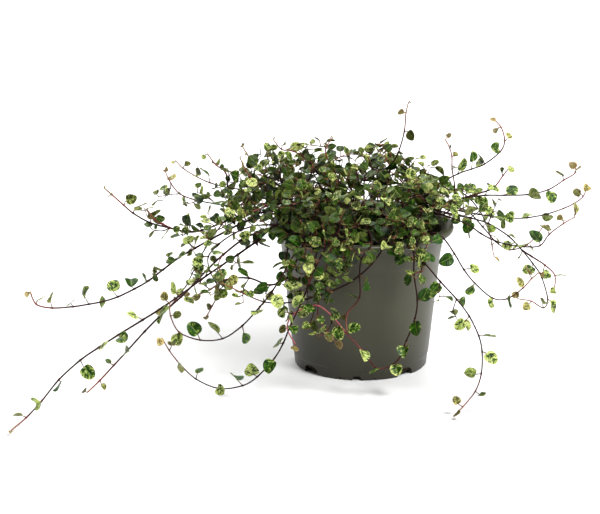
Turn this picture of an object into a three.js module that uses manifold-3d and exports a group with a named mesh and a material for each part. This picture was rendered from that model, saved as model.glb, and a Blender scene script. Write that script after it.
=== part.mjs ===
// A potted variegated wire vine: a tapered plastic nursery pot filled with soil, short leafy shoots that
// stand in the soil as a mound, and long wiry stems that arch over the rim, hang down and trail.
// Millimetres, +Z up. The origin is the centre of the pot's underside, and -Y is the front.

import * as THREE from "three";
import { mergeVertices } from "three/addons/utils/BufferGeometryUtils.js";
import Module from "manifold-3d";

const wasm = await Module();
wasm.setup();

// Pot, a turned shell with a rolled lip
const POT_HEIGHT = 118;
const LIP_RADIUS = 75;
const LIP_DROP = 5.5;
const NECK_RADIUS = 66.5;
const FOOT_RADIUS = 54.5;
const FOOT_HEIGHT = 9;
const FOOT_STEP = 0.5;
const WALL = 1.6;
const FLOOR = 3.6;
const POT_SIDES = 36;

// Drainage slots round the foot: tall and low arches by turns, and shallow notches beside the low ones
const ARCHES = 8;
const FIRST_ARCH = -94.5;
const TALL_ARCH = { width: 15, height: 7, inner: 49 };
const LOW_ARCH = { width: 7, height: 4.2, inner: 49 };
const NOTCH = { width: 5.5, height: 1.8, inner: 46 };
const NOTCH_TURN = 15;
const SLOT_SHOULDER = 0.55;
const SLOT_TOP = 0.6;
const SLOT_PAST = { foot: 2, wall: 8 };

// Soil, held clear of the shell, with a plain hole for each stem
const GAP = 0.3;
const SOIL_TOP = 104;
const SOIL_SIDES = 18;
const HOLE_DEPTH = 7;
const HOLE_RADIUS = 1.6;
const WORN_EDGE = { width: 4, depth: 3 };

// Stems are straight from joint to joint, and the real plant has a leaf at every joint
const STEM_RADIUS = 0.9;
const TIP_RADIUS = 0.55;
const BARE_STEP = 18;
const SPLINE_STEPS = 8;
const STEM_CLEARANCE = 2.6;
const STEM_TRIES = 70;
const TWIG_BARE = 8;
const TWIG_FOOT = 0.35;
const YOUNG_LENGTH = 30;
const YOUNG_CROWDING = 0.3;
const YOUNG_SHRINK = 0.4;
const GAP_SPREAD = [0.75, 1.25];
const STEM_AIR = 1;

// Where the stems are rooted, and how their routes rise and wander. Each new try wanders a step more.
const ROOT_REACH = 52;
const VINE_ROOTS = [12, ROOT_REACH];
const VINE_TURN = 1.1;
const VINE_RISE = { least: 26, more: 8 };
const WANDER_STEP = 0.25;
const SEEDS = { vine: 100, twig: 200, shoot: 500, side: 600, leaves: 900 };

// Leaves. This share of the joints in the mound and at the back carries one, spread evenly along the stem.
const LEAFY_SHARE = 0.52;
const LEAF_LENGTH = [9.2, 13];
const LEAF_WIDTH = 0.92;
const LEAF_THICKNESS = 0.6;
const LEAF_FOLD = 0.16;
const LEAF_SAG = 0.1;
const LEAF_OUTLINE = [[0.2, 0.4], [0.68, 0.42]];
const STALK_LENGTH = [3, 7];
const STALK_HALF_WIDTH = 0.38;
const STALK_ROOT = 1.1;
const BLADE_CLEARANCE = 2.1;
const OWN_CLEARANCE = 1.3;
const BEAD_STEP = 2.2;
const LEAF_TRIES = 7;
const LEAF_TURN = 2.2;
const LEAF_LIFT = 0.45;
const LEAF_DROOP = 0.3;
const LEAF_WOBBLE = 0.9;
const FACING_WOBBLE = 1;
const OUTWARD_SHARE = 0.45;
const ALONG_SHARE = 0.4;
const LEVEL_LEAST = 0.35;
const BEND_MOST = 0.5;
const BEND_BACK = 0.8;
const LEAF_AIR = 1.1;
const STALK_TESTED = 0.6;

// The leaves outside the mound stand where the picture shows them: each joint of a front stem with one of
// these places within reach turns its leaf to it. Points of the picture, across and down, chosen by eye.
const SEEN_LEAVES = [
  [105, 189], [137, 203], [148, 209], [166, 220], [163, 235], [194, 237], [187, 217], [175, 163],
  [193, 163], [167, 170], [180, 178], [207, 181], [180, 192], [200, 195], [219, 203], [182, 252],
  [194, 259], [119, 269], [120, 282], [132, 278], [147, 275], [95, 288], [59, 293], [71, 302],
  [107, 303], [46, 299], [32, 297], [159, 293], [177, 282], [175, 304], [192, 299], [128, 312],
  [160, 319], [190, 327], [206, 325], [177, 342], [128, 339], [127, 351], [108, 345], [80, 349],
  [91, 374], [86, 389], [57, 388], [36, 402], [18, 416], [12, 433], [185, 377], [230, 377],
  [231, 391], [163, 346], [253, 364], [257, 313], [240, 342], [240, 267], [237, 279], [240, 294],
  [278, 301], [225, 296], [247, 146], [293, 147], [410, 102], [399, 116], [413, 138], [380, 147],
  [498, 127], [496, 139], [488, 149], [472, 156], [481, 162], [501, 174], [499, 191], [513, 192],
  [539, 194], [550, 176], [572, 172], [553, 198], [578, 193], [586, 188], [501, 218], [527, 216],
  [542, 219], [545, 228], [572, 221], [528, 236], [521, 248], [510, 244], [493, 231], [463, 240],
  [446, 257], [476, 269], [470, 289], [486, 302], [515, 292], [522, 272], [544, 274], [563, 297],
  [552, 292], [554, 307], [543, 304], [524, 307], [509, 307], [539, 321], [456, 320], [495, 338],
  [467, 363], [483, 393], [450, 396], [457, 414], [298, 250], [303, 258], [331, 260], [317, 271],
  [304, 276], [300, 287], [299, 298], [288, 289], [286, 313], [296, 323], [276, 342], [293, 348],
  [294, 360], [267, 371], [310, 316], [317, 327], [337, 312], [330, 326], [338, 323], [329, 338],
  [340, 348], [357, 330], [366, 359], [403, 359], [397, 372], [366, 289], [354, 287], [346, 278],
  [353, 255], [366, 259], [395, 253], [428, 256], [419, 274], [407, 280], [427, 286], [423, 296],
  [394, 320], [416, 333], [428, 239], [384, 234],
];
const SEEN_REACH = 18;
const SEEN_TRIES = 40;
const CAMERA = { place: [-49.9, -2093.8, 680.7], tilt: 15.8, focus: 2670, middle: [300, 257] };

// Mound of short shoots, whose tips spread over a dome that overhangs the rim
const SHOOTS = 20;
const SHOOT_BARE = 24;
const SHOOT_GAP = 14;
const SHOOT_TURN = 0.4;
const SHOOT_ROOTS = { least: 8, reach: 42, share: [0.6, 1] };
const SHOOT_HEART = 16;
const SHOOT_KNEE = { share: 0.35, lift: 16 };
const SHOOT_BEND = { share: 0.7, lift: 9, least: 126 };
const SHOOT_WANDER = 2;
const DOME_CENTRE = [-20, -4, 114];
const DOME_REACH = [102, 92, 64];
const DOME_EDGE = -0.1;
const DOME_FULL = [0.88, 1];
const MOUND_EDGE = 1.05;
const SIDE_SHOOTS = [{ from: 0.5, turn: 1.8 }, { from: 0.7, turn: -1.8 }];
const SIDE_TURN = 0.8;
const SIDE_OUT = [11, 24];
const SIDE_LIFT = 7;
const SIDE_RISE = [16, -2];

const GOLDEN_TURN = 2.39996;
const GOLDEN_SHARE = 0.618;
const UP = [0, 0, 1];
const LIGHT = [-0.1, -0.45, 0.85];

// Each long stem's route from where it leaves the mound, points chosen by eye along the real plant.
// bare is the leafless length from the soil, gap the mean distance between leaves. A twig starts on
// the stem at a share of its length, and belongs to the same node.
const VINES = [
  {
    name: "vine_left_floor", bare: 40, gap: 19,
    route: [[-63, -27, 127], [-88, -40, 110], [-126, -70, 91], [-155, -92, 75], [-204, -125, 52],
      [-229, -145, 38], [-247, -162, 20], [-262, -172, 6], [-269, -180, 2.5]],
  },
  {
    name: "vine_left_fork", bare: 45, gap: 18,
    route: [[-60, -40, 128], [-92, -58, 121], [-117, -75, 105], [-139, -97, 87], [-163, -112, 68],
      [-184, -126, 48], [-206, -136, 26], [-214, -139, 19]],
  },
  {
    name: "vine_left_mid", bare: 30, gap: 15,
    route: [[-66, -12, 128], [-94, -15, 122], [-148, -35, 97], [-167, -42, 83], [-196, -50, 69],
      [-222, -55, 64], [-246, -60, 63], [-260, -62, 67], [-264, -62, 77]],
  },
  {
    name: "vine_loop_upper", bare: 45, gap: 17,
    route: [[-46, -60, 125], [-60, -84, 104], [-76, -94, 81], [-101, -102, 56], [-121, -105, 50],
      [-142, -107, 56], [-150, -108, 69], [-151, -109, 82]],
  },
  {
    name: "vine_loop_lower", bare: 30, gap: 16,
    route: [[-24, -72, 126], [-36, -92, 110], [-48, -99, 81], [-57, -101, 62], [-68, -104, 38],
      [-88, -109, 18], [-109, -113, 13], [-129, -114, 20], [-147, -114, 38], [-157, -112, 54]],
  },
  {
    name: "vine_cross_front", bare: 38, gap: 17,
    route: [[18, -70, 127], [9, -85, 110], [-12, -86, 91], [-42, -86, 79], [-62, -86, 75],
      [-81, -87, 77], [-100, -86, 86], [-113, -86, 92]],
  },
  {
    name: "vine_left_low", bare: 34, gap: 15,
    route: [[-44, -63, 124], [-56, -76, 100], [-68, -78, 87], [-91, -77, 93], [-106, -76, 92],
      [-118, -78, 85], [-137, -80, 77]],
  },
  {
    name: "vine_far_left", bare: 24, gap: 14,
    route: [[-70, -3, 128], [-98, -5, 124], [-133, -15, 114], [-154, -20, 118], [-177, -25, 127],
      [-197, -28, 145], [-205, -30, 153]],
    twigs: [{ from: 0.66, route: [[-163, -30, 126], [-170, -34, 132], [-172, -36, 138]] }],
  },
  {
    name: "vine_high_left", bare: 22, gap: 14,
    route: [[-72, 8, 126], [-100, 10, 127], [-134, 8, 134], [-144, 6, 137], [-154, 5, 148],
      [-159, 5, 159]],
  },
  {
    name: "vine_top_left", bare: 22, gap: 14,
    route: [[-68, 24, 130], [-91, 30, 136], [-115, 30, 140], [-130, 30, 146], [-143, 30, 153],
      [-151, 30, 161]],
    twigs: [{ from: 0.6, route: [[-110, 38, 148], [-120, 42, 156], [-126, 44, 164]] }],
  },
  {
    name: "sprig_left", bare: 20, gap: 13,
    route: [[-58, 17, 138], [-78, 22, 151], [-87, 24, 159], [-93, 26, 168], [-97, 26, 175]],
  },
  {
    name: "sprig_left_low", bare: 20, gap: 12,
    route: [[-66, 0, 138], [-84, 0, 149], [-93, 0, 160], [-98, 0, 171]],
  },
  {
    name: "sprig_arch", bare: 22, gap: 12,
    route: [[-30, 10, 148], [-43, 12, 166], [-56, 12, 174], [-66, 12, 176], [-71, 12, 183]],
  },
  {
    name: "sprig_back_left", bare: 22, gap: 12,
    route: [[-18, -5, 150], [-25, -5, 168], [-30, -5, 178], [-24, -5, 189]],
  },
  {
    name: "vine_hang_left", bare: 40, gap: 13,
    route: [[-60, -50, 127], [-95, -55, 124], [-117, -62, 110], [-119, -66, 92], [-117, -66, 80],
      [-121, -66, 64]],
  },
  {
    name: "vine_right_arch", bare: 20, gap: 14,
    route: [[50, 0, 142], [73, 0, 156], [101, 4, 166], [113, 5, 177], [115, 5, 188], [110, 5, 199],
      [105, 5, 203]],
  },
  {
    name: "sprig_right", bare: 24, gap: 13,
    route: [[64, -16, 128], [75, -20, 142], [72, -20, 162], [71, -20, 180], [66, -20, 191]],
  },
  {
    name: "vine_right_long", bare: 24, gap: 15,
    route: [[54, -8, 132], [88, -15, 143], [125, -25, 147], [144, -28, 150], [157, -30, 159],
      [169, -30, 165], [168, -30, 175]],
    twigs: [{ from: 0.42, route: [[105, -12, 149], [112, -9, 157], [119, -8, 166]] }],
  },
  {
    name: "vine_right_mid", bare: 24, gap: 14,
    route: [[60, 13, 128], [92, 15, 121], [110, 15, 118], [132, 15, 117], [150, 15, 120],
      [167, 15, 126], [180, 15, 134], [184, 15, 144]],
  },
  {
    name: "vine_right_low", bare: 34, gap: 15,
    route: [[56, -26, 132], [79, -35, 128], [99, -40, 116], [114, -42, 111], [131, -44, 109],
      [144, -46, 112], [150, -46, 123], [158, -46, 128], [168, -46, 134]],
  },
  {
    name: "vine_right_drop", bare: 34, gap: 16,
    route: [[62, 0, 127], [88, -3, 122], [108, -8, 116], [124, -12, 104], [142, -20, 83],
      [148, -22, 70], [152, -24, 50], [146, -28, 54], [139, -30, 59], [127, -32, 62]],
    twigs: [{ from: 0.58, route: [[150, -27, 87], [156, -29, 79], [155, -31, 70]] }],
  },
  {
    name: "vine_right_swag", bare: 34, gap: 15,
    route: [[46, -46, 126], [64, -59, 120], [81, -68, 95], [97, -74, 79], [109, -78, 75],
      [122, -80, 82], [130, -82, 92], [138, -82, 99]],
  },
  {
    name: "vine_right_floor", bare: 34, gap: 17,
    route: [[28, -68, 126], [42, -84, 114], [60, -92, 94], [78, -100, 75], [89, -108, 56],
      [92, -118, 38], [88, -128, 20], [77, -138, 8], [70, -144, 3]],
  },
  {
    name: "sprig_tall", bare: 26, gap: 16,
    route: [[18, -5, 150], [28, -5, 174], [33, -5, 187], [34, -5, 203], [37, -5, 218]],
  },
  {
    name: "sprig_short", bare: 24, gap: 12,
    route: [[22, 8, 150], [24, 8, 166], [21, 8, 178], [13, 8, 181]],
  },
  {
    name: "vine_front_long", bare: 32, gap: 18,
    route: [[31, -66, 127], [39, -84, 113], [41, -87, 100], [38, -88, 74], [34, -88, 45],
      [28, -90, 27], [14, -93, 25], [2, -95, 33], [-21, -95, 57], [-33, -94, 71], [-45, -93, 73],
      [-54, -92, 68], [-57, -91, 57], [-55, -90, 42]],
  },
  {
    name: "vine_front_mid", bare: 32, gap: 17,
    route: [[3, -68, 127], [2, -83, 114], [0, -86, 104], [-5, -87, 82], [-10, -87, 67],
      [-10, -87, 56]],
  },
  {
    name: "vine_front_left", bare: 32, gap: 15,
    route: [[-32, -67, 124], [-36, -83, 106], [-37, -85, 92], [-36, -84, 72], [-33, -84, 58],
      [-24, -84, 46]],
  },
  {
    name: "tuft_rim_left", bare: 28, gap: 11,
    route: [[-52, -54, 126], [-61, -72, 113], [-58, -76, 98], [-51, -78, 86]],
  },
  {
    name: "tuft_rim_front", bare: 26, gap: 11,
    route: [[-20, -68, 128], [-27, -82, 116], [-31, -84, 101]],
  },
  {
    name: "tuft_rim_middle", bare: 26, gap: 11,
    route: [[-10, -70, 127], [-14, -83, 115], [-19, -85, 104]],
  },
  {
    name: "tuft_rim_corner", bare: 26, gap: 11,
    route: [[-40, -62, 128], [-46, -80, 112], [-44, -83, 96], [-41, -82, 84]],
  },
  {
    name: "vine_back_left", bare: 30, gap: 17,
    route: [[-50, 46, 128], [-86, 70, 122], [-112, 92, 96], [-134, 108, 60], [-150, 118, 26],
      [-166, 126, 5]],
  },
  {
    name: "vine_back_arch", bare: 30, gap: 17,
    route: [[-20, 60, 132], [-30, 96, 132], [-38, 124, 112], [-44, 138, 84], [-42, 144, 62]],
  },
  {
    name: "vine_back_hang", bare: 30, gap: 16,
    route: [[6, 66, 128], [10, 86, 112], [8, 92, 84], [2, 94, 54], [-10, 98, 30]],
  },
  {
    name: "vine_back_right", bare: 30, gap: 17,
    route: [[42, 52, 130], [74, 84, 126], [98, 108, 106], [112, 124, 78], [118, 136, 52]],
  },
  {
    name: "vine_back_swag", bare: 30, gap: 17,
    route: [[62, 34, 127], [92, 48, 112], [110, 60, 88], [128, 70, 74], [144, 76, 80],
      [156, 80, 94]],
  },
];

// Plain vector arithmetic on [x, y, z]

const add = (a, b, k = 1) => [a[0] + b[0] * k, a[1] + b[1] * k, a[2] + b[2] * k];
const minus = (a, b) => add(a, b, -1);
const dot = (a, b) => a[0] * b[0] + a[1] * b[1] + a[2] * b[2];
const size = (a) => Math.sqrt(dot(a, a));
const unit = (a) => a.map((v) => v / size(a));
const mix = (a, b, t) => add(a, minus(b, a), t);
const across = (a, normal) => unit(add(a, normal, -dot(a, normal)));
const cross = (a, b) => [
  a[1] * b[2] - a[2] * b[1],
  a[2] * b[0] - a[0] * b[2],
  a[0] * b[1] - a[1] * b[0],
];

// A repeatable stream of numbers from 0 to 1

function stream(seed) {
  let state = 7919 * (seed + 11);
  const next = () => {
    state = (state * 16807) % 2147483647;
    return state / 2147483647;
  };
  for (let i = 0; i < 4; i++) next();
  return next;
}

const between = (random, [low, high]) => low + (high - low) * random();
const wobble = (random, reach) => [0, 1, 2].map(() => (2 * random() - 1) * reach);
const bent = (points, random, reach) => points.map((point) => add(point, wobble(random, reach)));

// Curves: a smooth line through a route's points, and places along it by distance

function spline(points) {
  const last = points.length - 1;
  const line = [];
  for (let i = 0; i < last; i++) {
    const [a, b] = [points[Math.max(i - 1, 0)], points[i]];
    const [c, d] = [points[i + 1], points[Math.min(i + 2, last)]];
    for (let k = 0; k < SPLINE_STEPS; k++) {
      const t = k / SPLINE_STEPS;
      line.push(b.map((_, j) => 0.5 * (2 * b[j] + (c[j] - a[j]) * t
        + (2 * a[j] - 5 * b[j] + 4 * c[j] - d[j]) * t * t
        + (3 * b[j] - a[j] - 3 * c[j] + d[j]) * t * t * t)));
    }
  }
  line.push(points[last]);
  return line;
}

function reachAlong(line) {
  const reach = [0];
  for (let i = 1; i < line.length; i++) reach.push(reach[i - 1] + size(minus(line[i], line[i - 1])));
  return reach;
}

function pointAt(line, reach, distance) {
  let i = 1;
  while (i < line.length - 1 && reach[i] < distance) i++;
  return mix(line[i - 1], line[i], (distance - reach[i - 1]) / (reach[i] - reach[i - 1]));
}

// Joints: set from the tip down, closer together where the stem is young. The bare foot has a few as well.

function jointed(line, { bare, gap }, random) {
  const reach = reachAlong(line);
  const length = reach[reach.length - 1];
  const start = line[0][2] < SOIL_TOP ? HOLE_DEPTH + 1 : 0;
  const places = [];
  let distance = length;
  while (distance > bare) {
    places.unshift(distance);
    distance -= gap * between(random, GAP_SPREAD) * (1 - YOUNG_CROWDING * youthAt(length - distance));
  }
  const leafy = places.length;
  const spare = places[0] - start;
  const parts = Math.max(1, Math.round(spare / BARE_STEP));
  for (let k = parts - 1; k > 0; k--) places.unshift(start + (spare * k) / parts);
  if (start) places.unshift(start);
  places.unshift(0);
  const joints = places.map((place) => pointAt(line, reach, place));
  return { joints, first: joints.length - leafy };
}

const youthAt = (fromTip) => Math.max(0, 1 - fromTip / YOUNG_LENGTH);

function directionAt({ joints }, i) {
  return unit(minus(joints[Math.min(i + 1, joints.length - 1)], joints[Math.max(i - 1, 0)]));
}

// Room: what has been placed so far, as stem pieces, beads along them and round blades, and gaps to them

const placed = { rods: [], beads: [], blades: [] };

function placeRod(a, b, owner) {
  const parts = Math.ceil(size(minus(b, a)) / BEAD_STEP);
  placed.rods.push({ a, b, owner });
  for (let k = 1; k <= parts; k++) placed.beads.push({ point: mix(a, b, k / parts), owner });
}

function gapToRod(point, { a, b }) {
  const along = minus(b, a);
  const t = Math.min(1, Math.max(0, dot(minus(point, a), along) / dot(along, along)));
  return size(minus(point, add(a, along, t)));
}

function gapToBlade(point, { centre, normal, radius }) {
  const offset = minus(point, centre);
  const height = dot(offset, normal);
  const beyond = Math.max(0, size(add(offset, normal, -height)) - radius);
  return Math.hypot(height, beyond);
}

const slope = (NECK_RADIUS - FOOT_RADIUS) / (POT_HEIGHT - LIP_DROP);
const outerRadius = (z) => (z > POT_HEIGHT - LIP_DROP - 2 ? LIP_RADIUS : FOOT_RADIUS + slope * z);
const innerRadius = (z) => FOOT_RADIUS + slope * z - WALL - FOOT_STEP;

// Whether a point keeps this much air to the pot, the soil and the surface that the pot stands on
function inOpenAir([x, y, z], air) {
  const r = Math.hypot(x, y);
  if (z < air) return false;
  if (z > POT_HEIGHT + air || r > outerRadius(z) + air) return true;
  return r < innerRadius(SOIL_TOP) - air && z > SOIL_TOP + air;
}

// How far a stem keeps from the stems of other nodes, or 0 where it meets the pot
function roomAround({ joints }, owner) {
  const others = placed.rods.filter((rod) => rod.owner !== owner);
  let room = Infinity;
  for (let i = 1; i < joints.length; i++) {
    const parts = Math.ceil(size(minus(joints[i], joints[i - 1])) / BEAD_STEP);
    for (let k = 1; k <= parts; k++) {
      const point = mix(joints[i - 1], joints[i], k / parts);
      if ((i > 1 || k === parts) && !inOpenAir(point, STEM_AIR)) return 0;
      for (const rod of others) room = Math.min(room, gapToRod(point, rod));
    }
  }
  return room;
}

// Stems: each tries its route, bent a little more each time, until it keeps clear of the others

function settle(owner, seed, spacing, routeFor) {
  const random = stream(seed);
  let best = null;
  for (let attempt = 0; attempt < STEM_TRIES; attempt++) {
    const stem = jointed(spline(routeFor(random, WANDER_STEP * attempt)), spacing, random);
    const room = roomAround(stem, owner);
    if (!best || room > best.room) best = { ...stem, room };
    if (room > STEM_CLEARANCE) break;
  }
  best.joints.slice(1).forEach((joint, i) => placeRod(best.joints[i], joint, owner));
  return best;
}

// Every stem stands straight up from the foot of its hole before it bends away
const foot = (x, y) => [[x, y, SOIL_TOP - HOLE_DEPTH + 2 * GAP], [x, y, SOIL_TOP + 1], [x, y, SOIL_TOP + 6]];

// A vine is rooted near the side that its route leaves by, and rises over the lip to get there
function vineRoute(route, random, reach) {
  const turn = Math.atan2(route[0][1], route[0][0]) + (random() - 0.5) * VINE_TURN;
  const r = between(random, VINE_ROOTS);
  const [x, y] = [r * Math.cos(turn), r * Math.sin(turn)];
  const rise = mix([x, y, SOIL_TOP + VINE_RISE.more], route[0], 0.5);
  rise[2] = Math.max(SOIL_TOP + VINE_RISE.least, rise[2] + VINE_RISE.more);
  return [...foot(x, y), ...bent([rise, ...route], random, reach)];
}

// The shoots' tips follow a spiral from the top of the dome down to its edge, just below the lip
function shootRoute(i, random, reach) {
  const turn = i * GOLDEN_TURN + (random() - 0.5) * SHOOT_TURN;
  const height = 1 - (1 - DOME_EDGE) * ((i + 0.5) / SHOOTS);
  const out = Math.sqrt(1 - height * height);
  const full = between(random, DOME_FULL);
  const tip = [Math.cos(turn) * out, Math.sin(turn) * out, height].map((v, k) =>
    DOME_CENTRE[k] + v * DOME_REACH[k] * full);
  const side = Math.atan2(tip[1], tip[0]);
  const r = SHOOT_ROOTS.least + SHOOT_ROOTS.reach * out * between(random, SHOOT_ROOTS.share);
  const [x, y] = [r * Math.cos(side), r * Math.sin(side)];
  const heart = [x, y, SOIL_TOP + SHOOT_HEART];
  const knee = mix(heart, tip, SHOOT_KNEE.share);
  knee[2] += SHOOT_KNEE.lift * out;
  const bend = mix(heart, tip, SHOOT_BEND.share);
  bend[2] = Math.max(bend[2] + SHOOT_BEND.lift * out, SHOOT_BEND.least * out);
  return [...foot(x, y), ...bent([knee, bend, tip], random, SHOOT_WANDER + reach)];
}

// A side shoot of the mound leaves its stem at a joint, and bends out and up
function sideRoute(root, turnBy, random, reach) {
  const turn = Math.atan2(root[1], root[0]) + turnBy + (random() - 0.5) * SIDE_TURN;
  const away = [Math.cos(turn), Math.sin(turn), 0];
  const first = add(add(root, away, SIDE_OUT[0]), UP, SIDE_LIFT);
  const second = add(add(root, away, SIDE_OUT[1]), UP, between(random, SIDE_RISE));
  return [root, ...bent([first, second], random, SHOOT_WANDER + reach)];
}

const jointNear = ({ joints }, share) => joints[Math.round((joints.length - 1) * share)];

// Leaves: alternate along each stem, turned to the light, kept clear of all that was placed before

const BLADE_SAMPLES = [[0.5, 0], [1, 0], [0.15, 0.14], [0.88, 0.14], [0.4, 0.14], [0.4, 0.42],
  [0.65, 0.14], [0.65, 0.42]].flatMap(([u, v]) => (v ? [[u, v], [u, -v]] : [[u, v]]));

function bladePoint({ base, axis, side, normal, length }, u, v) {
  const lift = length * (LEAF_FOLD * Math.abs(v) - LEAF_SAG * u * u);
  return add(add(add(base, axis, u * length), side, v * length * LEAF_WIDTH), normal, lift);
}

function drawLeaf(stem, i, flip, random, scale) {
  const root = stem.joints[i];
  const along = directionAt(stem, i);
  const outward = unit([root[0], root[1] - 1, 0]);
  const light = unit(add(LIGHT, outward, OUTWARD_SHARE));
  const level = cross(along, UP);
  const sideways = size(level) > LEVEL_LEAST ? unit(level) : unit(cross(along, outward));
  const lift = across(light, along);
  const turn = (random() - 0.5) * LEAF_TURN;
  const away = add(sideways.map((v) => v * flip * Math.cos(turn)), lift, Math.sin(turn) + LEAF_LIFT);
  const leaving = unit(add(unit(away), along, ALONG_SHARE));
  const length = between(random, LEAF_LENGTH) * scale;
  const base = add(root, leaving, between(random, STALK_LENGTH) * scale);
  let axis = unit(add(add(leaving, wobble(random, LEAF_WOBBLE)), UP, -LEAF_DROOP));
  if (dot(axis, leaving) < BEND_MOST) axis = unit(add(axis, leaving, BEND_BACK));
  const normal = across(add(light, wobble(random, FACING_WOBBLE)), axis);
  const side = cross(normal, axis);
  return { root, base, axis, normal, side, length, leaving };
}

function bladeRoom(leaf, owner) {
  const samples = [leaf.base, ...BLADE_SAMPLES.map(([u, v]) => bladePoint(leaf, u, v))];
  return { owner, samples, centre: samples[1], normal: leaf.normal, radius: leaf.length * 0.5 };
}

function leafFits(leaf, blade) {
  const points = [mix(leaf.root, leaf.base, STALK_TESTED), ...blade.samples];
  if (!points.every((point) => inOpenAir(point, LEAF_AIR))) return false;
  const clearOfStems = placed.rods.every((rod) => {
    const own = rod.owner === blade.owner;
    const tested = own ? points.slice(2) : points;
    return tested.every((point) => gapToRod(point, rod) > (own ? OWN_CLEARANCE : BLADE_CLEARANCE));
  });
  const clearOf = (disc) => (point) => gapToBlade(point, disc) > BLADE_CLEARANCE;
  return clearOfStems
    && placed.beads.every(({ point, owner }) => owner === blade.owner || clearOf(blade)(point))
    && placed.blades.every((other) => points.every(clearOf(other)) && other.samples.every(clearOf(blade)));
}

// Where the picture shows a point, and the nearest place for a leaf that no leaf has taken yet

const free = new Set(SEEN_LEAVES);

function inPicture(point) {
  const { place, focus, middle } = CAMERA;
  const tilt = THREE.MathUtils.degToRad(CAMERA.tilt);
  const [x, y, z] = minus(point, place);
  const depth = y * Math.cos(tilt) - z * Math.sin(tilt);
  const up = y * Math.sin(tilt) + z * Math.cos(tilt);
  return [middle[0] + (focus * x) / depth, middle[1] - (focus * up) / depth];
}

function nearestPlace(point) {
  const [across, down] = inPicture(point);
  let best = { miss: Infinity };
  for (const place of free) {
    const miss = Math.hypot(place[0] - across, place[1] - down);
    if (miss < best.miss) best = { place, miss };
  }
  return best;
}

// How far out of the mound a point is: 0 at the middle of the dome, 1 on its surface
const offCentre = (point) => size(minus(point, DOME_CENTRE).map((v, k) => v / DOME_REACH[k]));

// The leaves of one stem from its tip down, by joint. A leaf is tried a few times until it fits, or many
// times for the try that comes nearest to its place in the picture.
function leavesOf(stem, owner, seed) {
  const random = stream(seed);
  const last = stem.joints.length - 1;
  const reach = reachAlong(stem.joints);
  const leaves = new Map();
  let flip = random() < 0.5 ? 1 : -1;
  const shown = !owner.startsWith("vine_back");
  for (let i = last; i >= stem.first; i--) {
    flip = -flip;
    const seen = shown && nearestPlace(stem.joints[i]).miss < SEEN_REACH;
    const bare = shown && offCentre(stem.joints[i]) > MOUND_EDGE;
    if (!seen && (bare || ((last - i) * GOLDEN_SHARE) % 1 > LEAFY_SHARE)) continue;
    const scale = 1 - YOUNG_SHRINK * youthAt(reach[last] - reach[i]);
    let best = null;
    for (let attempt = 0; attempt < (seen ? SEEN_TRIES : LEAF_TRIES); attempt++) {
      const leaf = drawLeaf(stem, i, attempt % 2 ? -flip : flip, random, scale);
      const blade = bladeRoom(leaf, owner);
      const miss = nearestPlace(blade.centre).miss;
      if ((best && miss >= best.miss) || !leafFits(leaf, blade)) continue;
      best = { leaf, blade, miss };
      if (!seen) break;
    }
    if (!best) continue;
    placed.blades.push(best.blade);
    placeRod(best.leaf.root, best.leaf.base, owner);
    leaves.set(i, best.leaf);
    if (seen) free.delete(nearestPlace(best.blade.centre).place);
  }
  return leaves;
}

// The whole plant as a list of { name, stems }, all stems settled before the first leaf

function growPlant() {
  const plants = VINES.map(({ name, route, twigs = [], bare, gap }, i) => {
    const main = settle(name, SEEDS.vine + i, { bare, gap }, (random, reach) =>
      vineRoute(route, random, reach));
    const sides = twigs.map((twig, k) => {
      const root = jointNear(main, twig.from);
      return settle(name, SEEDS.twig + 7 * i + k, { bare: TWIG_BARE, gap }, (random, reach) =>
        [root, ...bent(twig.route, random, reach)]);
    });
    return { name, stems: [main, ...sides] };
  });
  for (let i = 0; i < SHOOTS; i++) {
    const name = `shoot_${String(i + 1).padStart(2, "0")}`;
    const spacing = { bare: SHOOT_BARE, gap: SHOOT_GAP };
    const main = settle(name, SEEDS.shoot + i, spacing, (random, reach) => shootRoute(i, random, reach));
    const sides = SIDE_SHOOTS.map(({ from, turn }, k) => {
      const root = jointNear(main, from);
      return settle(name, SEEDS.side + 7 * i + k, { ...spacing, bare: TWIG_BARE }, (random, reach) =>
        sideRoute(root, turn, random, reach));
    });
    plants.push({ name, stems: [main, ...sides] });
  }
  plants.forEach(({ name, stems }, i) => stems.forEach((stem, k) => {
    stem.leaves = leavesOf(stem, name, SEEDS.leaves + 13 * i + k);
  }));
  return plants;
}

// Solids

function solidFrom(vertices, triangles) {
  return new wasm.Manifold(new wasm.Mesh({
    numProp: 3,
    vertProperties: new Float32Array(vertices.flat()),
    triVerts: new Uint32Array(triangles.flat()),
  }));
}

function solidFromGeometry(geometry) {
  geometry.deleteAttribute("normal");
  geometry.deleteAttribute("uv");
  const merged = mergeVertices(geometry, 1e-4);
  return new wasm.Manifold(new wasm.Mesh({
    numProp: 3,
    vertProperties: merged.attributes.position.array,
    triVerts: new Uint32Array(merged.index.array),
  }));
}

function geometryFrom(solid) {
  const { vertProperties, triVerts } = solid.getMesh();
  const geometry = new THREE.BufferGeometry();
  geometry.setAttribute("position", new THREE.BufferAttribute(vertProperties, 3));
  geometry.setIndex(new THREE.BufferAttribute(triVerts, 1));
  const faceted = geometry.toNonIndexed();
  faceted.computeVertexNormals();
  return faceted;
}

// One leafy stem as a closed skin. Three-sided rings stand at the joints, and below the ring of a leafy
// joint a three-cornered patch of the stem's side runs out as a stalk into the leaf's blade.

const THIRD = (2 * Math.PI) / 3;

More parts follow.
